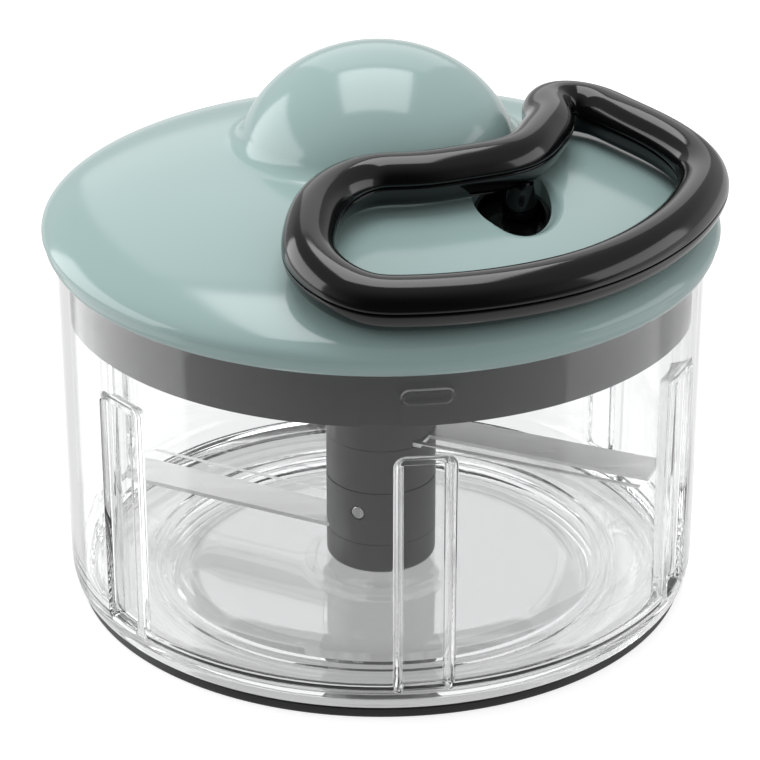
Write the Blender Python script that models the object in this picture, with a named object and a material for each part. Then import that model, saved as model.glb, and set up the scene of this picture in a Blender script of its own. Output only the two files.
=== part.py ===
"""Pull-cord food chopper, modelled piece by piece.

Metres, +Z up. The origin is the middle of the base, on the surface that the bowl stands on.
The blades, the shaft and the bowl share the Z axis. The reel stands behind it, under the dome.
"""

import math

import bmesh
import bpy
import numpy as np
from mathutils import Matrix, Vector

# Clearances and overruns
touch_gap = 0.0003
run_gap = 0.0004
overrun = 0.002
weld = 0.000001

# Roundness, in steps to a full turn
large_steps = 56
middle_steps = 28
small_steps = 20
screw_steps = 10

# Base ring and bowl. The bowl's rim sets the radius and the height of all that fits it.
base_ring_setback = 0.0020
base_ring_width = 0.0037
base_ring_height = 0.0027
floor_lift = 0.0008
bowl_floor = 0.0022
bowl_wall = 0.0021
bowl_top_radius = 0.0743
bowl_taper = 0.0004
bowl_rim_height = 0.0866
foot_round_width = 0.0018
foot_round_height = 0.0055
floor_round_width = 0.0153
floor_round_height = 0.0075
pivot_pad_radius = 0.017
pivot_pad_height = 0.0006
pivot_radius = 0.0034
pivot_height = 0.0062

# Channel ribs pressed into the wall of the bowl
rib_count = 6
rib_turn = math.radians(-82.5)
channel_width = 0.0106
channel_depth = 0.0030
channel_bottom = 0.0085
channel_drop = 0.0230

# Latch pad on the bowl
pad_turn = math.radians(-82.4)
pad_length = 0.0118
pad_height = 0.0042
pad_drop = 0.0066
pad_relief = 0.0007

# Blade column and blades
column_radius = 0.013
column_core_radius = 0.004
lower_blade_rise = 0.0085
lower_sleeve_rise = 0.0129
middle_sleeve_rise = 0.0119
column_top_clearance = 0.0006
core_cap = 0.0056
blade_thickness = 0.0010
blade_clearance = 0.0023
blade_front_offset = 0.0066
blade_back_offset = 0.0088
blade_hub_radius = 0.0122
blade_bevel_width = 0.0028
blade_edge_thickness = 0.0003
lower_blade_turn = math.radians(154.0)
upper_blade_turn = math.radians(-24.0)
pin_radius = 0.00155
pin_rise = 0.0074
pin_turn = math.radians(-115.0)

# Drive tang and its socket in the column
tang_width = 0.0080
tang_thickness = 0.0030
tang_length = 0.0080
tang_shoulder = 0.0012
tang_play = 0.0006
socket_depth_spare = 0.0012
shaft_radius = 0.0030
socket_mouth_radius = 0.0053
socket_mouth_depth = 0.0040

# Lid shell
lid_lip_clearance = 0.0004
lid_lip_wall = 0.0013
lid_lip_flare = 0.0013
lid_lip_drop = 0.0008
lid_lip_bend_rise = 0.0026
lid_crease_overhang = 0.0015
lid_crease_rise = 0.0032
lid_rise = 0.0115
lid_wall = 0.0022
lid_fullness = 2.5
dome_room = 0.0109
dome_rise = 0.0216
dome_root = 0.0020
dome_wall = 0.0023
dome_fullness = 2.1
dome_roundness = 0.6
lid_rib_setback = 0.0017
lid_rib_width = 0.0018

# Dish and well for the cord
well_half_width = 0.0090
well_half_length = 0.0175
dish_half_width = 0.0102
dish_half_length = 0.0206
dish_depth = 0.0046
well_boss_wall = 0.0020
well_boss_rise = 0.0017

# Lid seal and lid insert
seal_height = 0.0010
seal_width = 0.0014
flange_setback = 0.0001
flange_height = 0.0012
skirt_play = 0.0005
skirt_wall = 0.0024
skirt_drop = 0.0142
insert_floor_drop = 0.0136
insert_floor = 0.0020
notch_start = math.radians(-93.6)
notch_end = math.radians(-86.8)
notch_depth = 0.0010
notch_height = 0.0060
notch_corner = 0.0022

# Gears
gear_module = 0.001
gear_teeth = 28
pinion_teeth = 16
pressure_angle = math.radians(20)
reel_turn = math.radians(92.1)
gear_height = 0.0035
gear_backlash = 0.00028
addendum_share = 0.9
dedendum_share = 1.2
hex_radius = 0.0050
pinion_hex_radius = 0.0029
hub_clearance = 0.0004

# Shaft bearings
bush_wall = 0.0018
shaft_boss_wall = 0.0020
shaft_boss_drop = 0.0016
shaft_boss_rise = 0.0014
shaft_seal_height = 0.0013
journal_radius = 0.0022
journal_rise = 0.0012
circlip_height = 0.0010
circlip_width = 0.0010
circlip_groove = 0.0005
circlip_mouth = math.radians(60)

# Gear plate and its posts
plate_height = 0.0016
plate_rim = 0.0042
post_radius = 0.0030
post_side = 0.0225
post_side_forward = 0.0080
post_front = 0.0150
plate_screw_radius = 0.0009
plate_screw_head_radius = 0.0020
plate_screw_head = 0.0010
plate_screw_length = 0.0050

# Reel, spring and axle
axle_radius = 0.0025
axle_boss_radius = 0.0045
axle_boss_rise = 0.0006
axle_seat = 0.0012
axle_bearing_length = 0.0030
washer_height = 0.0005
neck_radius = 0.0060
neck_clearance = 0.0012
reel_core_radius = 0.0160
reel_flange_radius = 0.0186
reel_flange = 0.0012
barrel_radius = 0.0215
barrel_wall = 0.0012
barrel_inside_height = 0.0072
cover_height = 0.0010
arbor_radius = 0.0050
spring_thickness = 0.0005
spring_height = 0.0062
spring_turns = 6
spring_points = 20

# Cord
cord_diameter = 0.0019
cord_pitch = 0.00245
cord_turns = 5
cord_loop_points = 24
cord_bend_radius = 0.0030
cord_bend_points = 7

# Cord guide
guide_wall = 0.0009
guide_clearance = 0.0003
guide_floor = 0.0030
guide_flange = 0.0024
guide_flange_height = 0.0013
guide_hole_radius = 0.0020

# Screws that hold the insert to the lid
lid_screw_inset = 0.0348
lid_screw_turns = (30, 150, 210, 330)
lid_boss_radius = 0.0036
lid_screw_radius = 0.0014
lid_screw_head_radius = 0.0028
lid_screw_head = 0.0016
lid_screw_length = 0.0120
screw_clearance = 0.0004

# Handle and stem
handle_radius = 0.0059
handle_wall = 0.0017
handle_clearance = 0.0008
handle_room = 0.00565
handle_points = 56
handle_bend_weight = 0.012
seam_start = math.radians(-182)
seam_end = math.radians(-2)
seam_gap = 0.0003
stem_collar_radius = 0.0042
stem_collar_height = 0.0010
stem_belly_radius = 0.0043
stem_neck_radius = 0.0029
stem_spigot_radius = 0.0021
stem_head_radius = 0.0028
stem_head = 0.0010
cord_bore_radius = 0.0013
knot_radius = 0.0021

# Middle line of the handle seen from above: the angle in degrees, then the reach as a share of the lid's
# radius and as a share of the inner route's radius. It follows the rim round the front and the right, and
# hugs the dome on its way back.
handle_route_shares = (
    (-86.4, 0.934, 0), (-73.1, 0.936, 0), (-53.5, 0.938, 0), (-32.1, 0.933, 0), (-13.7, 0.937, 0),
    (0.8, 0.931, 0), (12.5, 0.852, 0), (23.3, 0, 0.779), (30.2, 0, 0.749), (34.7, 0, 0.688),
    (34.5, 0, 0.626), (22.8, 0, 0.543), (6.9, 0, 0.471), (-16.5, 0, 0.404), (-41.2, 0, 0.314),
    (-72.1, 0, 0.274), (-93.2, 0, 0.276), (-110.1, 0, 0.429), (-107.9, 0.637, 0), (-103.1, 0.796, 0),
    (-91.6, 0.927, 0),
)

# The stem, the well and the dish keep their places under the handle, as shares of the inner route's radius
stem_turn = math.radians(-11.8)
stem_share = 323 / 775
well_shares = (292 / 775, -135 / 775)
dish_shares = (315 / 775, -170 / 775)

# Bowl and blade column, worked out from the sizes above
bowl_foot_radius = bowl_top_radius - bowl_taper
base_ring_radius = bowl_foot_radius - base_ring_setback
ring_inner_radius = base_ring_radius - base_ring_width
floor_flat_radius = bowl_foot_radius - bowl_wall - floor_round_width
floor_top = floor_lift + bowl_floor
foot_level = base_ring_height + touch_gap
channel_top = bowl_rim_height - channel_drop
pad_level = bowl_rim_height - pad_drop
pad_top_level = floor_top + pivot_pad_height
column_bottom_level = pad_top_level + touch_gap
lower_blade_level = column_bottom_level + lower_blade_rise
pin_level = lower_blade_level + pin_rise
sleeve_seam_level = lower_blade_level + lower_sleeve_rise
upper_blade_level = sleeve_seam_level + middle_sleeve_rise
blade_reach = bowl_foot_radius - bowl_wall - channel_depth - blade_clearance

# Insert, seal and socket, worked out from the rim of the bowl
skirt_radius = bowl_top_radius - bowl_wall - skirt_play
skirt_inner_radius = skirt_radius - skirt_wall
skirt_bottom_level = bowl_rim_height - skirt_drop
notch_top_level = skirt_bottom_level + notch_height
insert_floor_level = bowl_rim_height - insert_floor_drop
insert_floor_top = insert_floor_level + insert_floor
seal_level = bowl_rim_height + touch_gap
flange_radius = bowl_top_radius - flange_setback
flange_level = seal_level + seal_height + touch_gap
flange_top_level = flange_level + flange_height
column_top_level = insert_floor_level - shaft_boss_drop - column_top_clearance
socket_level = column_top_level - socket_mouth_depth - tang_length - socket_depth_spare
core_top_level = socket_level - core_cap
tang_bottom_level = socket_level + touch_gap + socket_depth_spare / 2

# Gears, reel and spring, one above the other from the floor of the insert
gear_distance = gear_module * (gear_teeth + pinion_teeth) / 2
reel_way = Vector((math.cos(reel_turn), math.sin(reel_turn)))
reel_place = reel_way * gear_distance
gear_level = insert_floor_top + shaft_boss_rise + touch_gap
gear_top_level = gear_level + gear_height
plate_level = gear_top_level + 2 * touch_gap
plate_top_level = plate_level + plate_height
spool_level = plate_top_level + 2 * touch_gap
cord_level = spool_level + reel_flange + touch_gap + cord_diameter / 2
drum_radius = reel_core_radius + touch_gap + cord_diameter / 2
cord_top_level = cord_level + cord_pitch * cord_turns + cord_diameter / 2
barrel_level = cord_top_level + touch_gap
barrel_floor_top = barrel_level + reel_flange
barrel_top_level = barrel_floor_top + barrel_inside_height
cover_level = barrel_top_level + touch_gap
dome_boss_level = cover_level + cover_height + 2 * touch_gap

# Lid, worked out from the rim of the bowl and from the reel's barrel
lip_inner_radius = bowl_top_radius + lid_lip_clearance
lid_lip_radius = lip_inner_radius + lid_lip_wall
lid_lip_middle_radius = lid_lip_radius + lid_lip_flare
lid_radius = lid_lip_radius + lid_crease_overhang
lid_inner_radius = lid_radius - lid_wall
lid_lip_level = bowl_rim_height - lid_lip_drop
lid_lip_middle_level = lid_lip_level + lid_lip_bend_rise
lid_crease_level = bowl_rim_height + lid_crease_rise
lid_rib_radius = flange_radius - lid_rib_setback
lid_rib_level = flange_top_level + touch_gap
dome_radius = barrel_radius + dome_room

# Handle's inner route, and what stands or hangs under it
inner_route_radius = gear_distance + dome_radius + 2 * (handle_radius + handle_room)
stem_reach = stem_share * inner_route_radius
stem_place = Vector((stem_reach * math.cos(stem_turn), stem_reach * math.sin(stem_turn)))
well_place = Vector(well_shares) * inner_route_radius
dish_place = Vector(dish_shares) * inner_route_radius
well_boss_level = lid_crease_level + well_boss_rise
guide_bottom_level = well_boss_level - touch_gap - guide_flange_height
stem_bottom_level = guide_bottom_level + guide_floor + touch_gap
lid_screw_reach = (skirt_inner_radius + inner_route_radius - lid_screw_inset) / 2


def lid_height(reach, radius=lid_radius, rise=lid_rise):
    """Height of the lid's skin at a distance from the axis."""
    share = min(reach / radius, 1)
    return lid_crease_level + rise * math.sqrt(1 - share ** lid_fullness)


# Materials
def plastic(name, colour, roughness, transmission=0, metallic=0):
    material = bpy.data.materials.new(name)
    material.use_nodes = True
    shader = material.node_tree.nodes["Principled BSDF"]
    shader.inputs["Base Color"].default_value = (*colour, 1)
    shader.inputs["Roughness"].default_value = roughness
    shader.inputs["Metallic"].default_value = metallic
    shader.inputs["Transmission Weight"].default_value = transmission
    return material


def make_materials():
    return {
        "mint": plastic("mint_plastic", (0.36, 0.53, 0.49), 0.18),
        "gray": plastic("gray_plastic", (0.095, 0.095, 0.10), 0.42),
        "clear": plastic("clear_plastic", (0.95, 0.96, 0.96), 0.03, transmission=1),
        "black": plastic("black_plastic", (0.010, 0.010, 0.011), 0.16),
        "rubber": plastic("black_rubber", (0.015, 0.015, 0.016), 0.60),
        "seal": plastic("seal_silicone", (0.55, 0.56, 0.56), 0.55),
        "steel": plastic("steel", (0.62, 0.62, 0.61), 0.25, metallic=1),
        "blade": plastic("blade_steel", (0.70, 0.70, 0.69), 0.22, metallic=1),
        "white": plastic("white_plastic", (0.78, 0.78, 0.75), 0.40),
        "bronze": plastic("bronze", (0.45, 0.28, 0.13), 0.35, metallic=1),
        "cord": plastic("cord_nylon", (0.80, 0.80, 0.77), 0.70),
    }


# Modelling helpers
def finish_object(name, mesh, material, parent=None):
    piece = bpy.data.objects.new(name, mesh)
    bpy.context.scene.collection.objects.link(piece)
    mesh.materials.clear()
    mesh.materials.append(material)
    piece.parent = parent
    return piece


def mesh_from(bm, name):
    bmesh.ops.remove_doubles(bm, verts=bm.verts, dist=weld)
    bmesh.ops.recalc_face_normals(bm, faces=bm.faces)
    mesh = bpy.data.meshes.new(name)
    bm.to_mesh(mesh)
    bm.free()
    return mesh


def lathe(name, outline, steps, material, parent=None, centre=(0, 0), closed=False):
    """Turns an outline of (radius, height) points round a vertical axis.

    An open outline starts and ends on the axis. A closed one leaves a bore.
    """
    bm = bmesh.new()
    verts = [bm.verts.new((radius, 0, height)) for radius, height in outline]
    ends = verts[1:] + verts[:1] if closed else verts[1:]
    edges = [bm.edges.new(pair) for pair in zip(verts, ends)]
    upright = (0, 0, 1)
    turned = verts + edges
    bmesh.ops.spin(bm, geom=turned, cent=(0, 0, 0), axis=upright, angle=math.tau, steps=steps, use_merge=True)
    bmesh.ops.translate(bm, verts=bm.verts, vec=(*centre, 0))
    return finish_object(name, mesh_from(bm, name), material, parent)


def disc(name, radius, low, high, steps, material, parent=None, centre=(0, 0)):
    outline = [(0, low), (radius, low), (radius, high), (0, high)]
    return lathe(name, outline, steps, material, parent, centre)


def ring(name, inner, outer, low, high, steps, material, parent=None, centre=(0, 0)):
    outline = [(inner, low), (outer, low), (outer, high), (inner, high)]
    return lathe(name, outline, steps, material, parent, centre, closed=True)


def prism(name, outline, low, high, material, parent=None):
    """Raises a flat outline of (x, y) points from one level to another."""
    bm = bmesh.new()
    face = bm.faces.new([bm.verts.new((x, y, low)) for x, y in outline])
    top = bmesh.ops.extrude_face_region(bm, geom=[face])["geom"]
    raised = [v for v in top if isinstance(v, bmesh.types.BMVert)]
    bmesh.ops.translate(bm, verts=raised, vec=(0, 0, high - low))
    return finish_object(name, mesh_from(bm, name), material, parent)


def block(name, size, centre, material, turn=0, tilt=0):
    """A box that is tilted about its own long axis, then turned about the Z axis of the object."""
    bm = bmesh.new()
    bmesh.ops.create_cube(bm, size=1)
    bmesh.ops.scale(bm, vec=size, verts=bm.verts)
    bmesh.ops.rotate(bm, verts=bm.verts, cent=(0, 0, 0), matrix=turn_matrix(tilt, "X"))
    bmesh.ops.translate(bm, verts=bm.verts, vec=centre)
    bmesh.ops.rotate(bm, verts=bm.verts, cent=(0, 0, 0), matrix=turn_matrix(turn, "Z"))
    return finish_object(name, mesh_from(bm, name), material)


def turn_matrix(angle, axis):
    return Matrix.Rotation(angle, 3, axis)


def combine(piece, tool, operation):
    """Joins a tool to a piece or cuts it away, tidies the mesh that results, and removes the tool.

    The tool is drawn about the same pivot as the piece.
    """
    tool.parent = piece.parent
    step = piece.modifiers.new(operation.title(), "BOOLEAN")
    step.operation = operation
    step.solver = "EXACT"
    step.object = tool
    seen = piece.evaluated_get(bpy.context.evaluated_depsgraph_get())
    bm = bmesh.new()
    bm.from_mesh(seen.to_mesh())
    seen.to_mesh_clear()
    piece.modifiers.clear()
    bmesh.ops.remove_doubles(bm, verts=bm.verts, dist=weld)
    bmesh.ops.dissolve_degenerate(bm, edges=bm.edges, dist=weld)
    bm.to_mesh(piece.data)
    bm.free()
    bpy.data.objects.remove(tool)


def cut(piece, *tools):
    for tool in tools:
        combine(piece, tool, "DIFFERENCE")


def join(piece, *tools):
    for tool in tools:
        combine(piece, tool, "UNION")


def oval(centre, half_width, half_length, steps):
    turns = [math.tau * i / steps for i in range(steps)]
    return [(centre[0] + half_width * math.cos(a), centre[1] + half_length * math.sin(a)) for a in turns]


def arc(radius, start, end, steps, centre=(0, 0)):
    turns = [start + (end - start) * i / steps for i in range(steps + 1)]
    return [(centre[0] + radius * math.cos(a), centre[1] + radius * math.sin(a)) for a in turns]


def sweep(name, stations, section, material, parent=None, closed=False):
    """Carries a section of (side, up) points along stations of (point, side, up) vectors."""
    bm = bmesh.new()
    loops = [[bm.verts.new(p + side * a + up * b) for a, b in section] for p, side, up in stations]
    count = len(section)
    followers = loops[1:] + loops[:1] if closed else loops[1:]
    for here, there in zip(loops, followers):
        for i in range(count):
            k = (i + 1) % count
            bm.faces.new((here[i], here[k], there[k], there[i]))
    if not closed:
        bm.faces.new(loops[0])
        bm.faces.new(loops[-1])
    return finish_object(name, mesh_from(bm, name), material, parent)


def tube(name, points, diameter, material, parent=None):
    """A round cord along a list of points, with closed ends."""
    curve = bpy.data.curves.new(name, "CURVE")
    curve.dimensions = "3D"
    curve.bevel_depth = diameter / 2
    curve.bevel_resolution = 1
    curve.use_fill_caps = True
    line = curve.splines.new("POLY")
    line.points.add(len(points) - 1)
    for place, point in zip(line.points, points):
        place.co = (*point, 1)
    cord = bpy.data.objects.new(name, curve)
    bpy.context.scene.collection.objects.link(cord)
    curve.materials.append(material)
    cord.parent = parent
    return cord


def empty(name, place):
    pivot = bpy.data.objects.new(name, None)
    pivot.location = place
    bpy.context.scene.collection.objects.link(pivot)
    return pivot


def closed_curve(points, count, bend_weight):
    """Points along the smooth closed curve through the given ones, closer together where it bends."""
    key = np.array([tuple(p) for p in points])
    size = len(key)
    step = np.linalg.norm(np.roll(key, -1, axis=0) - key, axis=1)
    before = np.roll(step, 1)
    matrix = np.zeros((size, size))
    for i in range(size):
        matrix[i, i] = 2 * (before[i] + step[i])
        matrix[i, (i - 1) % size] += before[i]
        matrix[i, (i + 1) % size] += step[i]
    rise = (np.roll(key, -1, axis=0) - key) / step[:, None]
    bend = np.linalg.solve(matrix, 6 * (rise - np.roll(rise, 1, axis=0)))
    share = np.linspace(0, 1, 24, endpoint=False)
    a, b = (1 - share)[:, None], share[:, None]
    fine = []
    for i in range(size):
        k = (i + 1) % size
        curl = ((a ** 3 - a) * bend[i] + (b ** 3 - b) * bend[k]) * step[i] ** 2 / 6
        fine.append(a * key[i] + b * key[k] + curl)
    fine = np.vstack(fine)
    ahead = np.roll(fine, -1, axis=0) - fine
    way = np.unwrap(np.arctan2(ahead[:, 1], ahead[:, 0]))
    turning = np.abs(np.diff(way, append=way[-1]))
    effort = np.linalg.norm(ahead, axis=1) + bend_weight * turning
    run = np.concatenate([[0], np.cumsum(effort)])
    loop = np.vstack([fine, fine[:1]])
    wanted = np.linspace(0, run[-1], count, endpoint=False)
    return [Vector([np.interp(s, run, loop[:, axis]) for axis in range(2)]) for s in wanted]


# Bowl and base ring
def make_base_ring(stuff):
    rubber = stuff["rubber"]
    return ring("base_ring", ring_inner_radius, base_ring_radius, 0, base_ring_height, large_steps, rubber)


def bowl_outline():
    seat_radius = ring_inner_radius - touch_gap
    outline = [(0, floor_lift), (seat_radius, floor_lift), (seat_radius, foot_level)]
    round_steps = 3
    for i in range(round_steps + 1):
        a = math.pi / 2 * i / round_steps
        reach = bowl_foot_radius - foot_round_width * (1 - math.sin(a))
        outline.append((reach, foot_level + foot_round_height * (1 - math.cos(a))))
    outline += [(bowl_top_radius, bowl_rim_height), (bowl_top_radius - bowl_wall, bowl_rim_height)]
    inner_steps = 5
    inside = bowl_foot_radius - bowl_wall
    for i in range(inner_steps + 1):
        a = math.pi / 2 * (1 - i / inner_steps)
        reach = floor_flat_radius + (inside - floor_flat_radius) * math.sin(a)
        outline.append((reach, floor_top + floor_round_height * (1 - math.cos(a))))
    outline += [(pivot_pad_radius, floor_top), (pivot_pad_radius, pad_top_level)]
    pivot_top = floor_top + pivot_height
    outline += [(pivot_radius, pad_top_level), (pivot_radius, pivot_top), (0, pivot_top)]
    return outline


def wall_box(name, inner, outer, width, low, high, turn, material):
    """A box that stands across a round wall, centred on a direction from the axis."""
    size = (outer - inner, width, high - low)
    return block(name, size, ((inner + outer) / 2, 0, (low + high) / 2), material, turn)


def wall_prism(name, outline, inner, outer, turn, material):
    """An outline of (side, level) points carried across a round wall, centred on a direction."""
    out = Vector((math.cos(turn), math.sin(turn), 0))
    side = Vector((-math.sin(turn), math.cos(turn), 0))
    up = Vector((0, 0, 1))
    bm = bmesh.new()
    face = bm.faces.new([bm.verts.new(out * inner + side * x + up * y) for x, y in outline])
    moved = bmesh.ops.extrude_face_region(bm, geom=[face])["geom"]
    verts = [v for v in moved if isinstance(v, bmesh.types.BMVert)]
    bmesh.ops.translate(bm, verts=verts, vec=out * (outer - inner))
    return finish_object(name, mesh_from(bm, name), material)


def make_bowl(stuff):
    clear = stuff["clear"]
    bowl = lathe("bowl", bowl_outline(), large_steps, clear)
    channel_floor = bowl_foot_radius - channel_depth
    rib_face = channel_floor - bowl_wall
    rib_low = foot_level + bowl_floor * 0.7
    rib_top = channel_top + bowl_wall
    rib_width = channel_width + 2 * bowl_wall
    wall_middle = bowl_foot_radius - bowl_wall / 2
    turns = [rib_turn + math.tau * i / rib_count for i in range(rib_count)]
    for turn in turns:
        join(bowl, wall_box("rib", rib_face, wall_middle, rib_width, rib_low, rib_top, turn, clear))
    outside = bowl_top_radius + overrun
    low, high = channel_bottom, channel_top
    for turn in turns:
        cut(bowl, wall_box("channel", channel_floor, outside, channel_width, low, high, turn, clear))
    join(bowl, latch_pad(clear))
    return bowl


def latch_pad(material):
    """A long round-ended pad that stands proud of the wall under the lid."""
    half = pad_height / 2
    straight = pad_length / 2 - half
    outline = arc(half, -math.pi / 2, math.pi / 2, 6, (straight, pad_level))
    outline += arc(half, math.pi / 2, math.pi * 3 / 2, 6, (-straight, pad_level))
    buried, proud = bowl_foot_radius - bowl_wall / 2, bowl_top_radius + pad_relief
    return wall_prism("pad", outline, buried, proud, pad_turn, material)


# Blade column
def sleeve(name, low, high, stuff, pivot):
    bore = column_core_radius + touch_gap
    return ring(name, bore, column_radius, low, high, middle_steps, stuff["gray"], pivot)


def cross_bar(name, radius, half_length, material, parent=None):
    """A bar through the column at the height and direction of the cross pin."""
    bar = disc(name, radius, -half_length, half_length, screw_steps, material, parent)
    bar.data.transform(turn_matrix(math.pi / 2, "Y").to_4x4())
    bar.data.transform(turn_matrix(pin_turn, "Z").to_4x4())
    for vert in bar.data.vertices:
        vert.co.z += pin_level
    return bar


def make_column(stuff, pivot):
    half_blade = blade_thickness / 2 + touch_gap
    sleeve("column_foot", column_bottom_level, lower_blade_level - half_blade, stuff, pivot)
    seam_low, seam_high = sleeve_seam_level - touch_gap / 2, sleeve_seam_level + touch_gap / 2
    lower = sleeve("column_lower_sleeve", lower_blade_level + half_blade, seam_low, stuff, pivot)
    sleeve("column_middle_sleeve", seam_high, upper_blade_level - half_blade, stuff, pivot)
    gray = stuff["gray"]
    core_bottom = floor_top + pivot_height + touch_gap
    core = disc("column_core", column_core_radius, core_bottom, core_top_level, middle_steps, gray, pivot)
    for piece in (lower, core):
        cut(piece, cross_bar("pin_bore", pin_radius + touch_gap, column_radius + overrun, gray))
    cross_bar("cross_pin", pin_radius, column_radius, stuff["steel"], pivot)
    make_column_top(stuff, pivot)


def make_column_top(stuff, pivot):
    """The upper section: it takes the core from below and the drive tang from above."""
    low = upper_blade_level + blade_thickness / 2 + touch_gap
    gray = stuff["gray"]
    top = disc("column_top_socket", column_radius, low, column_top_level, middle_steps, gray, pivot)
    bore = column_core_radius + touch_gap
    cut(top, disc("core_bore", bore, low - overrun, core_top_level + touch_gap, middle_steps, gray))
    mouth_bottom = column_top_level - socket_mouth_depth
    cut(top, disc("mouth", socket_mouth_radius, mouth_bottom, column_top_level + overrun, middle_steps, gray))
    slot_top = mouth_bottom + overrun
    slot_size = (tang_thickness + 2 * tang_play, tang_width + 2 * tang_play, slot_top - socket_level)
    cut(top, block("slot", slot_size, (0, 0, (slot_top + socket_level) / 2), gray))
    return top


def blade_outline():
    """A straight strip with a round hub and a tip on an arc about the axis."""
    front = -blade_front_offset
    back = blade_back_offset
    tip = arc(blade_reach, math.asin(front / blade_reach), math.asin(back / blade_reach), 6)
    hub_back = math.asin(back / blade_hub_radius)
    hub_front = math.tau + math.asin(front / blade_hub_radius)
    return tip + arc(blade_hub_radius, hub_back, hub_front, 18)


def make_blade(name, level, turn, stuff, pivot):
    low = level - blade_thickness / 2
    high = level + blade_thickness / 2
    blade = prism(name, blade_outline(), low, high, stuff["blade"], pivot)
    bore = column_core_radius + touch_gap
    cut(blade, disc("bore", bore, low - overrun, high + overrun, middle_steps, stuff["blade"]))
    slope = math.atan2(blade_thickness - blade_edge_thickness, blade_bevel_width)
    length = blade_reach - column_radius + 2 * overrun
    wedge_size = (length, 4 * blade_bevel_width, 2 * overrun)
    wedge = block("wedge", wedge_size, (0, 0, 0), stuff["blade"], tilt=slope)
    drop = -overrun / math.cos(slope)
    for vert in wedge.data.vertices:
        vert.co.x += column_radius + length / 2
        vert.co.y += -blade_front_offset
        vert.co.z += drop + low + blade_thickness - blade_edge_thickness
    cut(blade, wedge)
    blade.data.transform(turn_matrix(turn, "Z").to_4x4())
    return blade


# Lid
def lid_outer_outline():
    reach_shares = (0, 0.25, 0.45, 0.62, 0.76, 0.86, 0.93, 0.975, 1)
    top = [(lid_radius * s, lid_height(lid_radius * s)) for s in reach_shares]
    lip = [(lid_lip_middle_radius, lid_lip_middle_level), (lid_lip_radius, lid_lip_level), (0, lid_lip_level)]
    return top + lip


def lid_cavity_outline():
    reach_shares = (0, 0.3, 0.54, 0.72, 0.86, 0.95)
    rise = lid_rise - lid_wall
    inside = lid_inner_radius
    top = [(inside * s, lid_height(inside * s, inside, rise)) for s in reach_shares]
    edge = [(lip_inner_radius, lid_height(lip_inner_radius, inside, rise))]
    low = lid_lip_level - overrun
    return top + edge + [(lip_inner_radius, low), (0, low)]


def dome_outline(radius, rise, bottom):
    """A rounded crown whose sides straighten towards its foot."""
    steps = 8
    root = lid_height(gear_distance) - dome_root
    shares = [math.sin(math.pi / 2 * i / steps) for i in range(steps)] + [1]
    skin = []
    for share in shares:
        climb = (1 - share ** dome_fullness) ** dome_roundness
        skin.append((radius * share, root + (rise + dome_root) * climb))
    return skin + [(radius, bottom), (0, bottom)]


def lid_screw_places():
    turns = [math.radians(a) for a in lid_screw_turns]
    return [(lid_screw_reach * math.cos(a), lid_screw_reach * math.sin(a)) for a in turns]


def make_lid_shell(stuff, pivot):
    mint = stuff["mint"]
    shell = lathe("lid_shell", lid_outer_outline(), large_steps, mint, pivot)
    buried = lid_crease_level + lid_wall
    dome_outside = dome_outline(dome_radius, dome_rise, buried)
    join(shell, lathe("dome", dome_outside, middle_steps, mint, None, reel_place))
    cavity = lathe("cavity", lid_cavity_outline(), large_steps, mint)
    dome_inside = dome_outline(dome_radius - dome_wall, dome_rise - dome_wall, lid_crease_level)
    join(cavity, lathe("dome_cavity", dome_inside, middle_steps, mint, None, reel_place))
    above = lid_crease_level + lid_rise + dome_rise + overrun
    low = dome_boss_level
    cut(cavity, disc("axle_boss", axle_boss_radius, low, above, small_steps, mint, None, reel_place))
    boss_low = insert_floor_top + touch_gap
    for place in lid_screw_places():
        cut(cavity, disc("screw_boss", lid_boss_radius, boss_low, above, small_steps, mint, None, place))
    rib_inner = lid_rib_radius - lid_rib_width
    cut(cavity, ring("lid_rib", rib_inner, lid_rib_radius, lid_rib_level, above, large_steps, mint))
    half_width, half_length = dish_half_width + well_boss_wall, dish_half_length + well_boss_wall
    boss = oval(boss_place(), half_width, half_length, middle_steps)
    cut(cavity, prism("well_boss", boss, well_boss_level, above, mint))
    cut(shell, cavity)
    cut(shell, dish_cutter(mint))
    well = oval(well_place, well_half_width, well_half_length, middle_steps)
    cut(shell, prism("well", well, well_boss_level - overrun, above, mint))
    bore = axle_radius + touch_gap
    low, high = dome_boss_level - overrun, dome_boss_level + axle_bearing_length
    cut(shell, disc("axle_bore", bore, low, high, small_steps, mint, None, reel_place))
    screw_bore = lid_screw_radius + screw_clearance
    screw_top = insert_floor_level + lid_screw_length + touch_gap
    low = insert_floor_top - overrun
    for place in lid_screw_places():
        cut(shell, disc("screw_bore", screw_bore, low, screw_top, screw_steps, mint, None, place))
    return shell


def boss_place():
    return (dish_place + well_place) / 2


def dish_cutter(material):
    """A flattened ball that sinks into the lid by the depth of the dish."""
    bm = bmesh.new()
    bmesh.ops.create_uvsphere(bm, u_segments=28, v_segments=16, radius=1)
    skin = lid_height(Vector(dish_place).length)
    height = 2 * dish_depth
    bmesh.ops.scale(bm, vec=(dish_half_width, dish_half_length, height), verts=bm.verts)
    bmesh.ops.translate(bm, verts=bm.verts, vec=(dish_place.x, dish_place.y, skin + height - dish_depth))
    return finish_object("dish", mesh_from(bm, "dish"), material)


def post_places():
    return [(post_side, post_side_forward), (-post_side, post_side_forward), (0, -post_front)]


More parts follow.
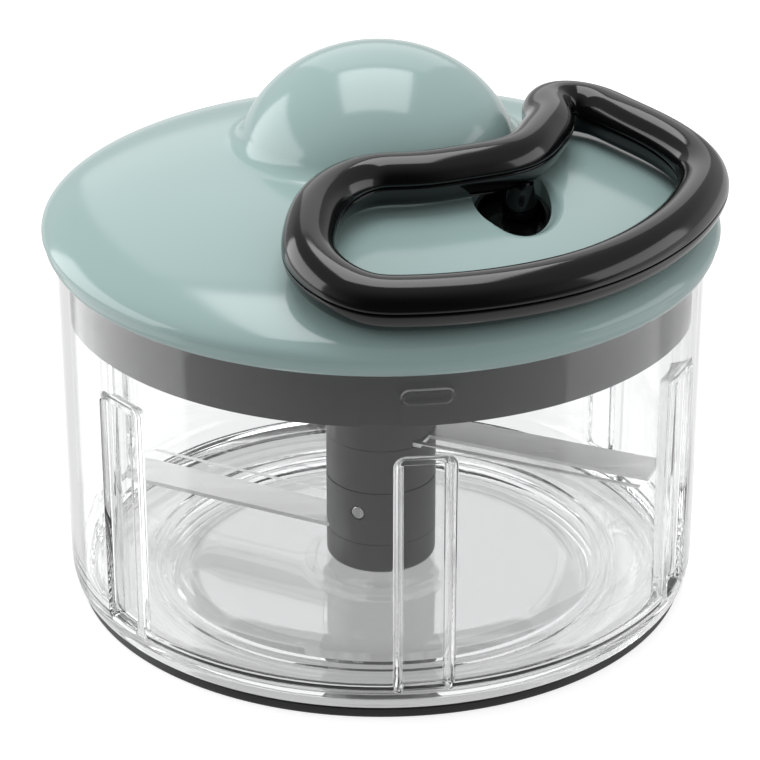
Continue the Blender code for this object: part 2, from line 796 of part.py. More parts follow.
def make_lid_insert(stuff, pivot):
    gray = stuff["gray"]
    bore = shaft_radius + bush_wall + run_gap + touch_gap
    boss = bore + shaft_boss_wall
    boss_bottom = insert_floor_level - shaft_boss_drop
    boss_top = insert_floor_top + shaft_boss_rise
    outline = [
        (0, insert_floor_level), (skirt_inner_radius, insert_floor_level),
        (skirt_inner_radius, skirt_bottom_level), (skirt_radius, skirt_bottom_level),
        (skirt_radius, flange_level), (flange_radius, flange_level),
        (flange_radius, flange_top_level), (skirt_inner_radius, flange_top_level),
        (skirt_inner_radius, insert_floor_top), (0, insert_floor_top),
    ]
    insert = lathe("lid_insert", outline, large_steps, gray, pivot)
    join(insert, disc("shaft_boss", boss, boss_bottom, boss_top, small_steps, gray))
    cut(insert, disc("shaft_bore", bore, boss_bottom - overrun, boss_top + overrun, small_steps, gray))
    sunk = insert_floor_level + insert_floor / 2
    boss_high = insert_floor_top + axle_boss_rise
    join(insert, disc("axle_boss", axle_boss_radius, sunk, boss_high, small_steps, gray, None, reel_place))
    seat = insert_floor_level + axle_seat
    axle_bore = axle_radius + touch_gap
    cut(insert, disc("axle_bore", axle_bore, seat, gear_level, small_steps, gray, None, reel_place))
    screw_bore = plate_screw_radius + screw_clearance
    for place in post_places():
        join(insert, disc("post", post_radius, sunk, plate_level - touch_gap, small_steps, gray, None, place))
        low = plate_top_level - plate_screw_length - touch_gap
        cut(insert, disc("post_bore", screw_bore, low, plate_level + overrun, screw_steps, gray, None, place))
    floor_bore = lid_screw_radius + screw_clearance
    for place in lid_screw_places():
        low, high = insert_floor_level - overrun, insert_floor_top + overrun
        cut(insert, disc("screw_hole", floor_bore, low, high, screw_steps, gray, None, place))
    cut(insert, notch_cutter(gray))
    return insert


def notch_cutter(material):
    """The shallow arch-shaped recess in the outside of the skirt, open at its lower edge."""
    half = skirt_radius * (notch_end - notch_start) / 2
    low = skirt_bottom_level - overrun
    corner_level = notch_top_level - notch_corner
    corner = arc(notch_corner, math.pi / 2, math.pi, 5, (-half + notch_corner, corner_level))
    outline = [(half, low), (half, notch_top_level)] + corner + [(-half, low)]
    middle = (notch_start + notch_end) / 2
    return wall_prism("notch", outline, skirt_radius - notch_depth, skirt_radius + overrun, middle, material)


def make_lid_seal(stuff, pivot):
    outer = bowl_top_radius - touch_gap
    top = seal_level + seal_height
    return ring("lid_seal", outer - seal_width, outer, seal_level, top, large_steps, stuff["seal"], pivot)


def make_cord_guide(stuff, pivot):
    """The black cup in the well: a flange under the lid's boss, and a floor with a hole for the cord."""
    black = stuff["black"]
    skin = lid_height(Vector(well_place).length) - dish_depth
    wide = well_half_width - guide_clearance
    long = well_half_length - guide_clearance
    outside = oval(well_place, wide, long, middle_steps)
    guide = prism("cord_guide", outside, guide_bottom_level, skin, black, pivot)
    flange_top = well_boss_level - touch_gap
    flange = oval(well_place, well_half_width + guide_flange, well_half_length + guide_flange, middle_steps)
    join(guide, prism("flange", flange, flange_top - guide_flange_height, flange_top, black))
    inside = oval(well_place, wide - guide_wall, long - guide_wall, middle_steps)
    cut(guide, prism("inside", inside, guide_bottom_level + guide_floor, skin + overrun, black))
    low, high = guide_bottom_level - overrun, guide_bottom_level + guide_floor + overrun
    cut(guide, disc("cord_hole", guide_hole_radius, low, high, screw_steps, black, None, stem_place))
    return guide


# Gears, shaft and bearings
def involute(angle):
    return math.tan(angle) - angle


def gear_outline(teeth, first_turn):
    """The outline of a spur gear with involute flanks, one tooth centred on the first turn."""
    pitch = gear_module * teeth / 2
    base = pitch * math.cos(pressure_angle)
    tip = pitch + gear_module * addendum_share
    root = pitch - gear_module * dedendum_share
    half_tooth = math.pi / teeth / 2 - gear_backlash / 2 / pitch
    start = max(base, root)
    flank = [start, tip]
    points = []
    for tooth in range(teeth):
        middle = first_turn + math.tau * tooth / teeth
        side = []
        for radius in flank:
            lean = half_tooth + involute(pressure_angle) - involute(math.acos(min(base / radius, 1)))
            side.append((radius, lean))
        side.insert(0, (root, side[0][1] + (gear_module * addendum_share / 10) / root))
        for radius, lean in side:
            points.append((radius * math.cos(middle - lean), radius * math.sin(middle - lean)))
        for radius, lean in reversed(side):
            points.append((radius * math.cos(middle + lean), radius * math.sin(middle + lean)))
    return points


def make_gears(stuff, reel_pivot, drive_pivot):
    white = stuff["white"]
    low, high = gear_level - overrun, gear_top_level + overrun
    gear_shape = gear_outline(gear_teeth, reel_turn + math.pi)
    gear = prism("reel_gear", gear_shape, gear_level, gear_top_level, white, reel_pivot)
    cut(gear, disc("hex_bore", hex_radius + hub_clearance, low, high, 6, white))
    pinion_shape = gear_outline(pinion_teeth, reel_turn + math.pi / pinion_teeth)
    pinion = prism("drive_pinion", pinion_shape, gear_level, gear_top_level, white, drive_pivot)
    cut(pinion, disc("pinion_bore", pinion_hex_radius + hub_clearance, low, high, 6, white))


def shaft_top_level():
    return plate_top_level + touch_gap + circlip_height + journal_rise


def make_drive_shaft(stuff, pivot):
    """Tang, round shaft, hexagon for the pinion, and a thin journal with a groove for the ring."""
    steel = stuff["steel"]
    shaft_bottom = column_top_level - socket_mouth_depth + touch_gap
    shaft_top = gear_level - touch_gap
    groove_low = plate_top_level + touch_gap
    groove_high = groove_low + circlip_height
    groove = journal_radius - circlip_groove
    outline = [
        (0, shaft_bottom), (shaft_radius, shaft_bottom),
        (shaft_radius, shaft_top), (journal_radius, shaft_top),
        (journal_radius, groove_low), (groove, groove_low),
        (groove, groove_high), (journal_radius, groove_high),
        (journal_radius, shaft_top_level()), (0, shaft_top_level()),
    ]
    shaft = lathe("drive_shaft", outline, small_steps, steel, pivot)
    tang_top = shaft_bottom + tang_shoulder
    tang_size = (tang_thickness, tang_width, tang_top - tang_bottom_level)
    join(shaft, block("tang", tang_size, (0, 0, (tang_bottom_level + tang_top) / 2), steel))
    join(shaft, disc("hexagon", pinion_hex_radius, shaft_top - overrun / 2, gear_top_level, 6, steel))
    return shaft


def make_bearings(stuff, pivot, drive_pivot):
    bronze = stuff["bronze"]
    inner = shaft_radius + run_gap
    outer = inner + bush_wall
    boss_bottom = insert_floor_level - shaft_boss_drop
    seal_top = boss_bottom + shaft_seal_height
    boss_top = insert_floor_top + shaft_boss_rise
    ring("shaft_seal", inner, outer, boss_bottom, seal_top, small_steps, stuff["rubber"], pivot)
    ring("shaft_bush_lower", inner, outer, seal_top + touch_gap, boss_top, small_steps, bronze, pivot)
    small = journal_radius + run_gap
    bush_outer = small + bush_wall
    ring("shaft_bush_upper", small, bush_outer, plate_level, plate_top_level, small_steps, bronze, pivot)
    low = plate_top_level + touch_gap * 1.5
    clip_inner = journal_radius - circlip_groove + touch_gap
    open_ring = arc(clip_inner + circlip_width, circlip_mouth / 2, math.tau - circlip_mouth / 2, 16)
    open_ring += reversed(arc(clip_inner, circlip_mouth / 2, math.tau - circlip_mouth / 2, 16))
    prism("shaft_circlip", open_ring, low, low + circlip_height - touch_gap, stuff["steel"], drive_pivot)


def make_gear_plate(stuff, pivot):
    gray = stuff["gray"]
    bm = bmesh.new()
    far = reel_way * (gear_distance + neck_radius + neck_clearance + plate_rim / 2)
    corners = post_places() + [far]
    for corner in corners:
        for x, y in arc(plate_rim, 0, math.tau * (1 - 1 / screw_steps), screw_steps - 1, corner):
            bm.verts.new((x, y, plate_level))
            bm.verts.new((x, y, plate_top_level))
    bmesh.ops.convex_hull(bm, input=bm.verts)
    plate = finish_object("gear_plate", mesh_from(bm, "gear_plate"), gray, pivot)
    low, high = plate_level - overrun, plate_top_level + overrun
    neck_hole = neck_radius + neck_clearance
    cut(plate, disc("neck_hole", neck_hole, low, high, small_steps, gray, None, reel_place))
    bush_hole = journal_radius + run_gap + bush_wall + touch_gap
    cut(plate, disc("bush_hole", bush_hole, low, high, small_steps, gray))
    screw_hole = plate_screw_radius + screw_clearance
    for place in post_places():
        cut(plate, disc("screw_hole", screw_hole, low, high, screw_steps, gray, None, place))
    return plate


# Reel and spring
def make_reel(stuff, pivot):
    white = stuff["white"]
    bore = axle_radius + run_gap
    barrel_inner = barrel_radius - barrel_wall
    spool_top = spool_level + reel_flange
    neck_low = gear_top_level + touch_gap
    outline = [
        (bore, neck_low), (neck_radius, neck_low), (neck_radius, spool_level),
        (reel_flange_radius, spool_level), (reel_flange_radius, spool_top), (reel_core_radius, spool_top),
        (reel_core_radius, barrel_level), (barrel_radius, barrel_level), (barrel_radius, barrel_top_level),
        (barrel_inner, barrel_top_level), (barrel_inner, barrel_floor_top), (bore, barrel_floor_top),
    ]
    reel = lathe("cord_reel", outline, middle_steps, white, pivot, closed=True)
    spigot = disc("spigot", hex_radius, gear_level + touch_gap, spool_level, 6, white)
    cut(spigot, disc("spigot_bore", bore, gear_level - overrun, spool_level + overrun, small_steps, white))
    join(reel, spigot)
    return reel


def make_reel_carriers(stuff, pivot):
    """The fixed pieces that the reel turns on, all centred on the reel's axis."""
    place = reel_place
    bottom = insert_floor_level + axle_seat + touch_gap
    top = dome_boss_level + axle_bearing_length - touch_gap
    steel = stuff["steel"]
    disc("reel_axle", axle_radius, bottom, top, small_steps, steel, pivot, place)
    inner = axle_radius + touch_gap
    low = insert_floor_top + axle_boss_rise + touch_gap
    high = low + washer_height
    ring("reel_washer", inner, axle_boss_radius, low, high, small_steps, stuff["white"], pivot, place)
    arbor_low = barrel_floor_top + touch_gap
    arbor_high = dome_boss_level - touch_gap
    ring("spring_arbor", inner, arbor_radius, arbor_low, arbor_high, small_steps, steel, pivot, place)


def make_spring(stuff, pivot):
    """One flat ribbon wound from the arbor out to the wall of the barrel."""
    inner = arbor_radius + run_gap + spring_thickness
    outer = barrel_radius - barrel_wall - touch_gap - spring_thickness
    count = spring_turns * spring_points
    middle = barrel_floor_top + barrel_inside_height / 2
    stations = []
    for i in range(count + 1):
        angle = math.tau * spring_turns * i / count
        radius = inner + (outer - inner) * i / count
        side = Vector((math.cos(angle), math.sin(angle), 0))
        stations.append((side * radius + Vector((0, 0, middle)), side, Vector((0, 0, 1))))
    half, tall = spring_thickness / 2, spring_height / 2
    section = [(-half, -tall), (half, -tall), (half, tall), (-half, tall)]
    spring = sweep("power_spring", stations, section, stuff["steel"], pivot)
    gap = least_gap([s[0] for s in stations], spring_points, spring_thickness)
    print("power_spring least gap to itself, mm:", round(gap * 1000, 3))
    return spring


def least_gap(points, turn, thickness):
    """The shortest distance between neighbouring turns, less the thickness."""
    rows = np.array([tuple(p) for p in points])
    best = None
    for i in range(len(rows) - turn // 2):
        far = np.linalg.norm(rows[i + turn // 2:] - rows[i], axis=1).min()
        best = far if best is None else min(best, far)
    return best - thickness


def make_spring_cover(stuff, pivot):
    inner = arbor_radius + run_gap
    top = cover_level + cover_height
    return ring("spring_cover", inner, barrel_radius, cover_level, top, middle_steps, stuff["white"], pivot)


# Cord
def leaving_turn():
    """The direction from the reel's axis to where the cord leaves the drum for the guide."""
    away = stem_place - reel_place
    return math.atan2(away.y, away.x) + math.acos(drum_radius / away.length)


def make_winding(stuff, pivot):
    start = leaving_turn()
    count = cord_turns * cord_loop_points
    points = []
    for i in range(count + 1):
        angle = start + math.tau * i / cord_loop_points
        level = cord_level + cord_pitch * i / cord_loop_points
        points.append(Vector((drum_radius * math.cos(angle), drum_radius * math.sin(angle), level)))
    gap = least_gap(points, cord_loop_points, cord_diameter)
    print("cord_winding least gap to itself, mm:", round(gap * 1000, 3))
    return tube("cord_winding", points, cord_diameter, stuff["cord"], pivot)


def make_lead(stuff, pivot):
    """From the side of the winding straight to the guide, then up through its hole."""
    start = leaving_turn()
    leave = reel_place + drum_radius * Vector((math.cos(start), math.sin(start)))
    leave = Vector((leave.x, leave.y, cord_level))
    corner = Vector((stem_place.x, stem_place.y, cord_level))
    along = (corner - leave).normalized()
    swept = drum_radius + cord_diameter + run_gap
    skip = math.sqrt(swept ** 2 - drum_radius ** 2)
    bend = corner - along * cord_bend_radius
    points = [leave + along * skip, bend]
    for i in range(1, cord_bend_points + 1):
        a = math.pi / 2 * i / cord_bend_points
        climb = Vector((0, 0, cord_bend_radius * (1 - math.cos(a))))
        points.append(bend + along * cord_bend_radius * math.sin(a) + climb)
    end = stem_bottom_level - touch_gap
    points.append(Vector((stem_place.x, stem_place.y, max(end, points[-1].z + touch_gap))))
    return tube("cord_lead", points, cord_diameter, stuff["cord"], pivot)


# Screws
def screw(name, place, head_level, head, head_radius, radius, tip_level, material, parent):
    """A round-headed screw. The head grows away from the head level, the shank runs to the tip."""
    away = 1 if tip_level < head_level else -1
    crown = head_level + away * head
    outline = [
        (0, crown), (head_radius * 0.6, crown),
        (head_radius, head_level + away * head / 2), (head_radius, head_level),
        (radius, head_level), (radius, tip_level + away * radius), (0, tip_level),
    ]
    return lathe(name, outline, screw_steps, material, parent, place)


def make_screws(stuff, pivot):
    steel = stuff["steel"]
    for number, place in enumerate(lid_screw_places(), 1):
        level = insert_floor_level - touch_gap
        tip = insert_floor_level + lid_screw_length - touch_gap
        name = f"lid_screw_{number}"
        screw(name, place, level, lid_screw_head, lid_screw_head_radius, lid_screw_radius, tip, steel, pivot)
    for number, place in enumerate(post_places(), 1):
        level = plate_top_level + touch_gap
        tip = plate_top_level - plate_screw_length + touch_gap
        name = f"plate_screw_{number}"
        head, head_radius = plate_screw_head, plate_screw_head_radius
        screw(name, place, level, head, head_radius, plate_screw_radius, tip, steel, pivot)


# Handle
def handle_line():
    """The closed middle line of the handle, lying just over the lid."""
    keys = []
    for degrees, rim_share, inner_share in handle_route_shares:
        angle = math.radians(degrees)
        reach = rim_share * lid_radius + inner_share * inner_route_radius
        keys.append((reach * math.cos(angle), reach * math.sin(angle)))
    above = handle_clearance + handle_radius
    flat = closed_curve(keys, handle_points, handle_bend_weight)
    return [Vector((p.x, p.y, lid_height(p.length) + above)) for p in flat]


def handle_stations():
    line = handle_line()
    stations = []
    for i, point in enumerate(line):
        along = (line[(i + 1) % len(line)] - line[i - 1]).normalized()
        side = along.cross(Vector((0, 0, 1))).normalized()
        stations.append((point, side, side.cross(along).normalized()))
    return stations


def shell_section(start, end, outer_steps, inner_steps):
    inner = handle_radius - handle_wall
    outside = arc(handle_radius, start, end, outer_steps)
    return outside + list(reversed(arc(inner, start, end, inner_steps)))


def handle_level_at_stem():
    nearest = min(handle_line(), key=lambda p: (p.to_2d() - stem_place).length)
    return nearest.z


def make_handle(stuff, pivot):
    black = stuff["black"]
    stations = handle_stations()
    edge = seam_gap / 2 / (handle_radius - handle_wall)
    upper = shell_section(seam_end + edge, math.tau + seam_start - edge, 7, 5)
    sweep("handle_upper", stations, upper, black, pivot, closed=True)
    lower_section = shell_section(seam_start + edge, seam_end - edge, 7, 5)
    lower = sweep("handle_lower", stations, lower_section, black, pivot, closed=True)
    level = handle_level_at_stem()
    hole = stem_spigot_radius + touch_gap
    low, high = level - handle_radius - overrun, level
    cut(lower, disc("stem_hole", hole, low, high, small_steps, black, None, stem_place))
    make_stem(level, stuff, pivot)


def make_stem(level, stuff, pivot):
    """A cone with a collar below, and above it a spigot through the lower shell with a head inside."""
    neck_top = level - handle_radius - touch_gap
    inside = level - math.sqrt((handle_radius - handle_wall) ** 2 - stem_head_radius ** 2) + 2 * touch_gap
    collar_top = stem_bottom_level + stem_collar_height
    cone = neck_top - collar_top
    cone_width = stem_belly_radius - stem_neck_radius
    outline = [
        (cord_bore_radius, stem_bottom_level), (stem_collar_radius, stem_bottom_level),
        (stem_collar_radius, collar_top),
        (stem_belly_radius, collar_top), (stem_belly_radius, collar_top + cone * 0.2),
        (stem_neck_radius + cone_width * 0.45, collar_top + cone * 0.6), (stem_neck_radius, neck_top),
        (stem_spigot_radius, neck_top), (stem_spigot_radius, inside), (stem_head_radius, inside),
        (stem_head_radius, inside + stem_head), (cord_bore_radius, inside + stem_head),
    ]
    lathe("cord_stem", outline, small_steps, stuff["black"], pivot, stem_place, closed=True)
    knot_level = inside + stem_head + touch_gap + knot_radius
    top = knot_level - knot_radius - touch_gap
    ends = [Vector((*stem_place, stem_bottom_level + touch_gap)), Vector((*stem_place, top))]
    tube("handle_cord", ends, cord_diameter, stuff["cord"], pivot)
    bm = bmesh.new()
    bmesh.ops.create_uvsphere(bm, u_segments=12, v_segments=8, radius=knot_radius)
    bmesh.ops.translate(bm, verts=bm.verts, vec=(*stem_place, knot_level))
    finish_object("cord_knot", mesh_from(bm, "cord_knot"), stuff["cord"], pivot)


def shade():
    for piece in bpy.data.objects:
        if piece.type == "MESH":
            piece.data.shade_smooth()
            piece.data.set_sharp_from_angle(angle=math.radians(35))


def main():
    for old in list(bpy.data.objects):
        bpy.data.objects.remove(old)
    stuff = make_materials()
    lid_pivot = empty("lid_slide", (0, 0, 0))
    handle_pivot = empty("handle_slide", (0, 0, 0))
    column_pivot = empty("column_axis", (0, 0, 0))
    drive_pivot = empty("drive_axis", (0, 0, 0))
    reel_pivot = empty("reel_axis", (*reel_place, 0))
    make_base_ring(stuff)
    make_bowl(stuff)
    make_column(stuff, column_pivot)
    make_blade("lower_blade", lower_blade_level, lower_blade_turn, stuff, column_pivot)
    make_blade("upper_blade", upper_blade_level, upper_blade_turn, stuff, column_pivot)
    make_lid_shell(stuff, lid_pivot)
    make_lid_insert(stuff, lid_pivot)
    make_lid_seal(stuff, lid_pivot)
    make_cord_guide(stuff, lid_pivot)
    make_gears(stuff, reel_pivot, drive_pivot)
    make_drive_shaft(stuff, drive_pivot)
    make_bearings(stuff, lid_pivot, drive_pivot)
    make_gear_plate(stuff, lid_pivot)
    make_reel(stuff, reel_pivot)
    make_reel_carriers(stuff, lid_pivot)
    make_spring(stuff, reel_pivot)
    make_spring_cover(stuff, reel_pivot)
    make_winding(stuff, reel_pivot)
    make_lead(stuff, lid_pivot)
    make_screws(stuff, lid_pivot)
    make_handle(stuff, handle_pivot)
    shade()


main()
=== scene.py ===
"""Pull-cord food chopper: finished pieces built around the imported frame.

Metres, +Z up, the front of the bowl towards -Y. Run as a script; it makes the pieces, their finishes,
a plain studio and the camera.
"""

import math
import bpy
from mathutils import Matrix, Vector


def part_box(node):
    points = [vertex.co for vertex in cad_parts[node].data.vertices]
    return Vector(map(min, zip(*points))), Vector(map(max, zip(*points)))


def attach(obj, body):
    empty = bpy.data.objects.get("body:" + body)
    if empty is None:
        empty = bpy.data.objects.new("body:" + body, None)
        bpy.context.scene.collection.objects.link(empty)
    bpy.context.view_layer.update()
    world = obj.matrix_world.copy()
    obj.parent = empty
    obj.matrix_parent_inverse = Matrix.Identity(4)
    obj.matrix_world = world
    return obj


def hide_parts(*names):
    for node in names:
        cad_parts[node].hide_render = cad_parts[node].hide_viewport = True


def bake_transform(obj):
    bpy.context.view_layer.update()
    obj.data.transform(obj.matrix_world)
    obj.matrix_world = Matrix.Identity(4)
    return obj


bl_info = {
    "name": "Pull-cord food chopper",
    "version": (1, 0, 0),
    "blender": (4, 5, 0),
    "location": "3D View > Sidebar > Chopper",
    "description": "Builds a pull-cord food chopper, piece by piece, around its packed frame",
    "category": "Object",
}

import bmesh
import bpy
import numpy as np
from bpy.props import FloatProperty, FloatVectorProperty, IntProperty, PointerProperty
from mathutils import Matrix, Vector

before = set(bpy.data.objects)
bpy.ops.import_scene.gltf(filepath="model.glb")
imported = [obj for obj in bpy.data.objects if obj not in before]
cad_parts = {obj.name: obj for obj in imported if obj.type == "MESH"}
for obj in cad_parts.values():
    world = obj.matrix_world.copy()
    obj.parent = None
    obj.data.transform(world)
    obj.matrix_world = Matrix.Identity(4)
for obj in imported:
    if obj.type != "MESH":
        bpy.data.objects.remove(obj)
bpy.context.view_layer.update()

MM = 0.001
WELD = 0.000002
CLEARANCE = 0.0003
AXLE_BOSS_RADIUS = 4.5 * MM
AXLE_BORE_RADIUS = 2.8 * MM
SCREW_BORE_RADIUS = 1.8 * MM
PLATE_POSTS = ((22.5 * MM, 8 * MM), (-22.5 * MM, 8 * MM), (0, -15 * MM))

# Middle line of the handle seen from above: the angle in degrees and the reach as a share of the lid's radius
HANDLE_ROUTE_SHARES = (
    (-86.4, 0.934), (-73.1, 0.936), (-53.5, 0.938), (-32.1, 0.933), (-13.7, 0.937), (0.8, 0.931),
    (12.5, 0.852), (23.3, 0.779), (30.2, 0.749), (34.7, 0.688), (34.5, 0.626), (22.8, 0.543),
    (6.9, 0.471), (-16.5, 0.404), (-41.2, 0.314), (-72.1, 0.274), (-93.2, 0.276), (-110.1, 0.429),
    (-107.9, 0.637), (-103.1, 0.796), (-91.6, 0.927),
)


def length(name, description, default):
    return FloatProperty(
        name=name, description=description, default=default, min=0, subtype="DISTANCE", unit="LENGTH"
    )


def turn(name, description, degrees):
    return FloatProperty(name=name, description=description, default=math.radians(degrees), subtype="ANGLE")


def colour(name, description, default):
    return FloatVectorProperty(
        name=name, description=description, default=default, size=3, min=0, max=1, subtype="COLOR"
    )


class LidSizes(bpy.types.PropertyGroup):
    radius: length("Lid radius", "From the axis to the crease of the lid", 77.5 * MM)
    crease_level: length("Crease level", "Height of the crease over the table", 89.8 * MM)
    rise: length("Rise", "How far the lid crowns over its crease", 11.5 * MM)
    fullness: FloatProperty(name="Fullness", description="How late the crown falls", default=2.5, min=1.5)
    wall: length("Wall", "Thickness of the lid", 2.2 * MM)
    lip_radius: length("Lip radius", "Outside of the lid's lower edge", 76.0 * MM)
    lip_level: length("Lip level", "Height of the lid's lower edge", 85.8 * MM)
    lip_inner_radius: length("Lip bore", "Inside of the lid's lower edge", 74.7 * MM)
    dome_radius: length("Dome radius", "Foot of the dome over the reel", 32.4 * MM)
    dome_rise: length("Dome rise", "Height of the dome over the lid", 21.6 * MM)
    dome_root: length("Dome root", "How deep the dome starts in the lid", 2.0 * MM)
    dome_wall: length("Dome wall", "Thickness of the dome", 2.3 * MM)
    dome_fullness: FloatProperty(name="Dome fullness", description="How wide the dome's top is", default=2.1)
    dome_roundness: FloatProperty(name="Dome roundness", description="How upright the sides are", default=0.6)
    dome_fillet: length("Dome fillet", "Soft hollow round the foot of the dome", 3.6 * MM)
    dome_reach: length("Dome reach", "From the axis to the middle of the dome", 22.0 * MM)
    dome_turn: turn("Dome direction", "Direction of the dome from the axis", 92.1)
    well_side: length("Well side", "Middle of the cord's well, to the right", 29.2 * MM)
    well_forward: length("Well forward", "Middle of the cord's well, to the front", 13.5 * MM)
    well_half_width: length("Well half width", "Half of the well's short axis", 9.0 * MM)
    well_half_length: length("Well half length", "Half of the well's long axis", 17.5 * MM)
    dish_side: length("Dish side", "Middle of the finger dish, to the right", 31.5 * MM)
    dish_forward: length("Dish forward", "Middle of the finger dish, to the front", 17.0 * MM)
    dish_half_width: length("Dish half width", "Half of the dish's short axis", 10.2 * MM)
    dish_half_length: length("Dish half length", "Half of the dish's long axis", 20.6 * MM)
    dish_depth: length("Dish depth", "How deep the dish sinks", 4.6 * MM)
    boss_level: length("Boss level", "Lower end of the boss round the well", 91.5 * MM)


class InsertSizes(bpy.types.PropertyGroup):
    floor_level: length("Floor level", "Underside of the insert's floor", 73.0 * MM)
    floor: length("Floor", "Thickness of the insert's floor", 2.0 * MM)
    skirt_radius: length("Skirt radius", "Outside of the skirt in the bowl", 71.7 * MM)
    skirt_wall: length("Skirt wall", "Thickness of the skirt", 2.4 * MM)
    skirt_level: length("Skirt level", "Lower edge of the skirt", 72.4 * MM)
    flange_radius: length("Flange radius", "Outside of the flange over the bowl's rim", 74.2 * MM)
    flange_level: length("Flange level", "Underside of the flange", 88.2 * MM)
    flange_height: length("Flange height", "Thickness of the flange", 1.2 * MM)
    boss_radius: length("Boss radius", "Outside of the shaft's boss", 7.5 * MM)
    bore_radius: length("Bore radius", "Bore for the shaft's bush", 5.5 * MM)
    recess_start: turn("Recess start", "Left side of the arch in the skirt", -93.6)
    recess_end: turn("Recess end", "Right side of the arch in the skirt", -86.8)
    recess_depth: length("Recess depth", "How deep the arch is", 1.0 * MM)
    recess_top: length("Recess top", "Top of the arch", 78.4 * MM)
    recess_corner: length("Recess corner", "Round corner of the arch", 2.2 * MM)


class BowlSizes(bpy.types.PropertyGroup):
    top_radius: length("Rim radius", "Outside of the bowl at its rim", 74.3 * MM)
    foot_radius: length("Foot radius", "Outside of the bowl over its foot", 73.9 * MM)
    wall: length("Wall", "Thickness of the wall", 2.1 * MM)
    rim_level: length("Rim level", "Height of the rim", 86.6 * MM)
    rim_round: length("Rim round", "Rounding of the rim's edges", 0.55 * MM)
    lift: length("Lift", "Gap under the middle of the floor", 0.8 * MM)
    floor: length("Floor", "Thickness of the floor", 2.2 * MM)
    seat_radius: length("Seat radius", "Where the floor's edge meets the base ring", 67.9 * MM)
    seat_level: length("Seat level", "Where the foot's hollow underside starts", 4.2 * MM)
    foot_level: length("Foot level", "Lower edge of the foot", 3.0 * MM)
    foot_width: length("Foot width", "Width of the rounded foot", 1.8 * MM)
    foot_height: length("Foot height", "Height of the rounded foot", 5.5 * MM)
    floor_radius: length("Floor radius", "Flat part of the floor inside", 56.5 * MM)
    floor_curve: length("Floor curve", "Height of the curve from the floor to the wall", 7.5 * MM)
    floor_bead: length("Floor bead", "Size of the two fine rings near the floor's edge", 0.5 * MM)
    pad_radius: length("Pad radius", "Raised disc under the blades", 17.0 * MM)
    pad_height: length("Pad height", "Height of the raised disc", 0.6 * MM)
    pivot_radius: length("Pivot radius", "Pin that the blades turn on", 3.4 * MM)
    pivot_height: length("Pivot height", "Height of the pin over the floor", 6.2 * MM)
    rib_count: IntProperty(name="Ribs", description="Channels pressed into the wall", default=6, min=0)
    rib_turn: turn("Rib direction", "Direction of the first channel", -82.5)
    channel_width: length("Channel width", "Width of each channel", 10.6 * MM)
    channel_depth: length("Channel depth", "Depth of each channel", 3.0 * MM)
    channel_bottom: length("Channel bottom", "Lower end of each channel", 8.5 * MM)
    channel_top: length("Channel top", "Upper end of each channel", 63.6 * MM)
    channel_round: length("Channel round", "Softness of the channel's edges", 0.55 * MM)
    ridge_wall: length("Ridge wall", "Wall at the sides of each channel", 1.0 * MM)
    ridge_round: length("Ridge round", "Softness of the ridge's edges inside", 0.9 * MM)
    latch_turn: turn("Latch pad direction", "Direction of the raised pad under the rim", -82.4)
    latch_length: length("Latch pad length", "Length of the raised pad", 11.8 * MM)
    latch_height: length("Latch pad height", "Height of the raised pad", 4.2 * MM)
    latch_level: length("Latch pad level", "Middle of the raised pad", 80.0 * MM)
    latch_bead: length("Latch pad bead", "Width of the bead round the pad", 1.0 * MM)
    latch_relief: length("Latch pad relief", "How far the pad stands out", 0.9 * MM)


class ColumnSizes(bpy.types.PropertyGroup):
    bore_radius: length("Bore radius", "Bore of the sections for the rod", 4.3 * MM)
    heel: length("Heel", "Rounding of the column's lower edge", 1.6 * MM)
    lip_wall: length("Lip wall", "Thickness of the lip that hides a blade's hub", 0.55 * MM)
    lip_drop: length("Lip drop", "How far that lip reaches down", 1.45 * MM)
    pin_bore_radius: length("Pin bore", "Bore for the cross pin", 1.85 * MM)
    core_top: length("Rod room", "Upper end of the bore for the rod", 52.3 * MM)
    mouth_radius: length("Mouth radius", "Opening for the drive shaft", 5.3 * MM)
    mouth_level: length("Mouth level", "Floor of the opening", 66.8 * MM)
    slot_width: length("Slot width", "Narrow side of the slot for the shaft's tang", 4.2 * MM)
    slot_length: length("Slot length", "Long side of the slot", 9.2 * MM)
    slot_bottom: length("Slot bottom", "Lower end of the slot", 57.6 * MM)
    blade_front: length("Blade front", "From a blade's middle line to its cutting edge", 6.6 * MM)
    blade_back: length("Blade back", "From a blade's middle line to its back", 8.8 * MM)
    lower_turn: turn("Lower blade", "Direction of the lower blade", 154)
    upper_turn: turn("Upper blade", "Direction of the upper blade", -24)


class HandleSizes(bpy.types.PropertyGroup):
    radius: length("Handle radius", "Half of the grip's thickness", 5.9 * MM)
    wall: length("Handle wall", "Thickness of the two shells", 1.7 * MM)
    clearance: length("Handle clearance", "Gap between the grip and the lid", 0.8 * MM)
    seam_start: turn("Seam start", "Where the lower shell starts round the grip", -182)
    seam_end: turn("Seam end", "Where the lower shell ends round the grip", -2)
    seam_gap: length("Seam gap", "Gap between the two shells", 0.3 * MM)
    seam_round: length("Seam round", "Rounding of the shells' edges", 0.22 * MM)
    stem_reach: length("Stem reach", "From the axis to the cord", 32.3 * MM)
    stem_turn: turn("Stem direction", "Direction of the cord from the axis", -11.8)
    cord_radius: length("Cord radius", "Half of the cord's thickness", 0.95 * MM)


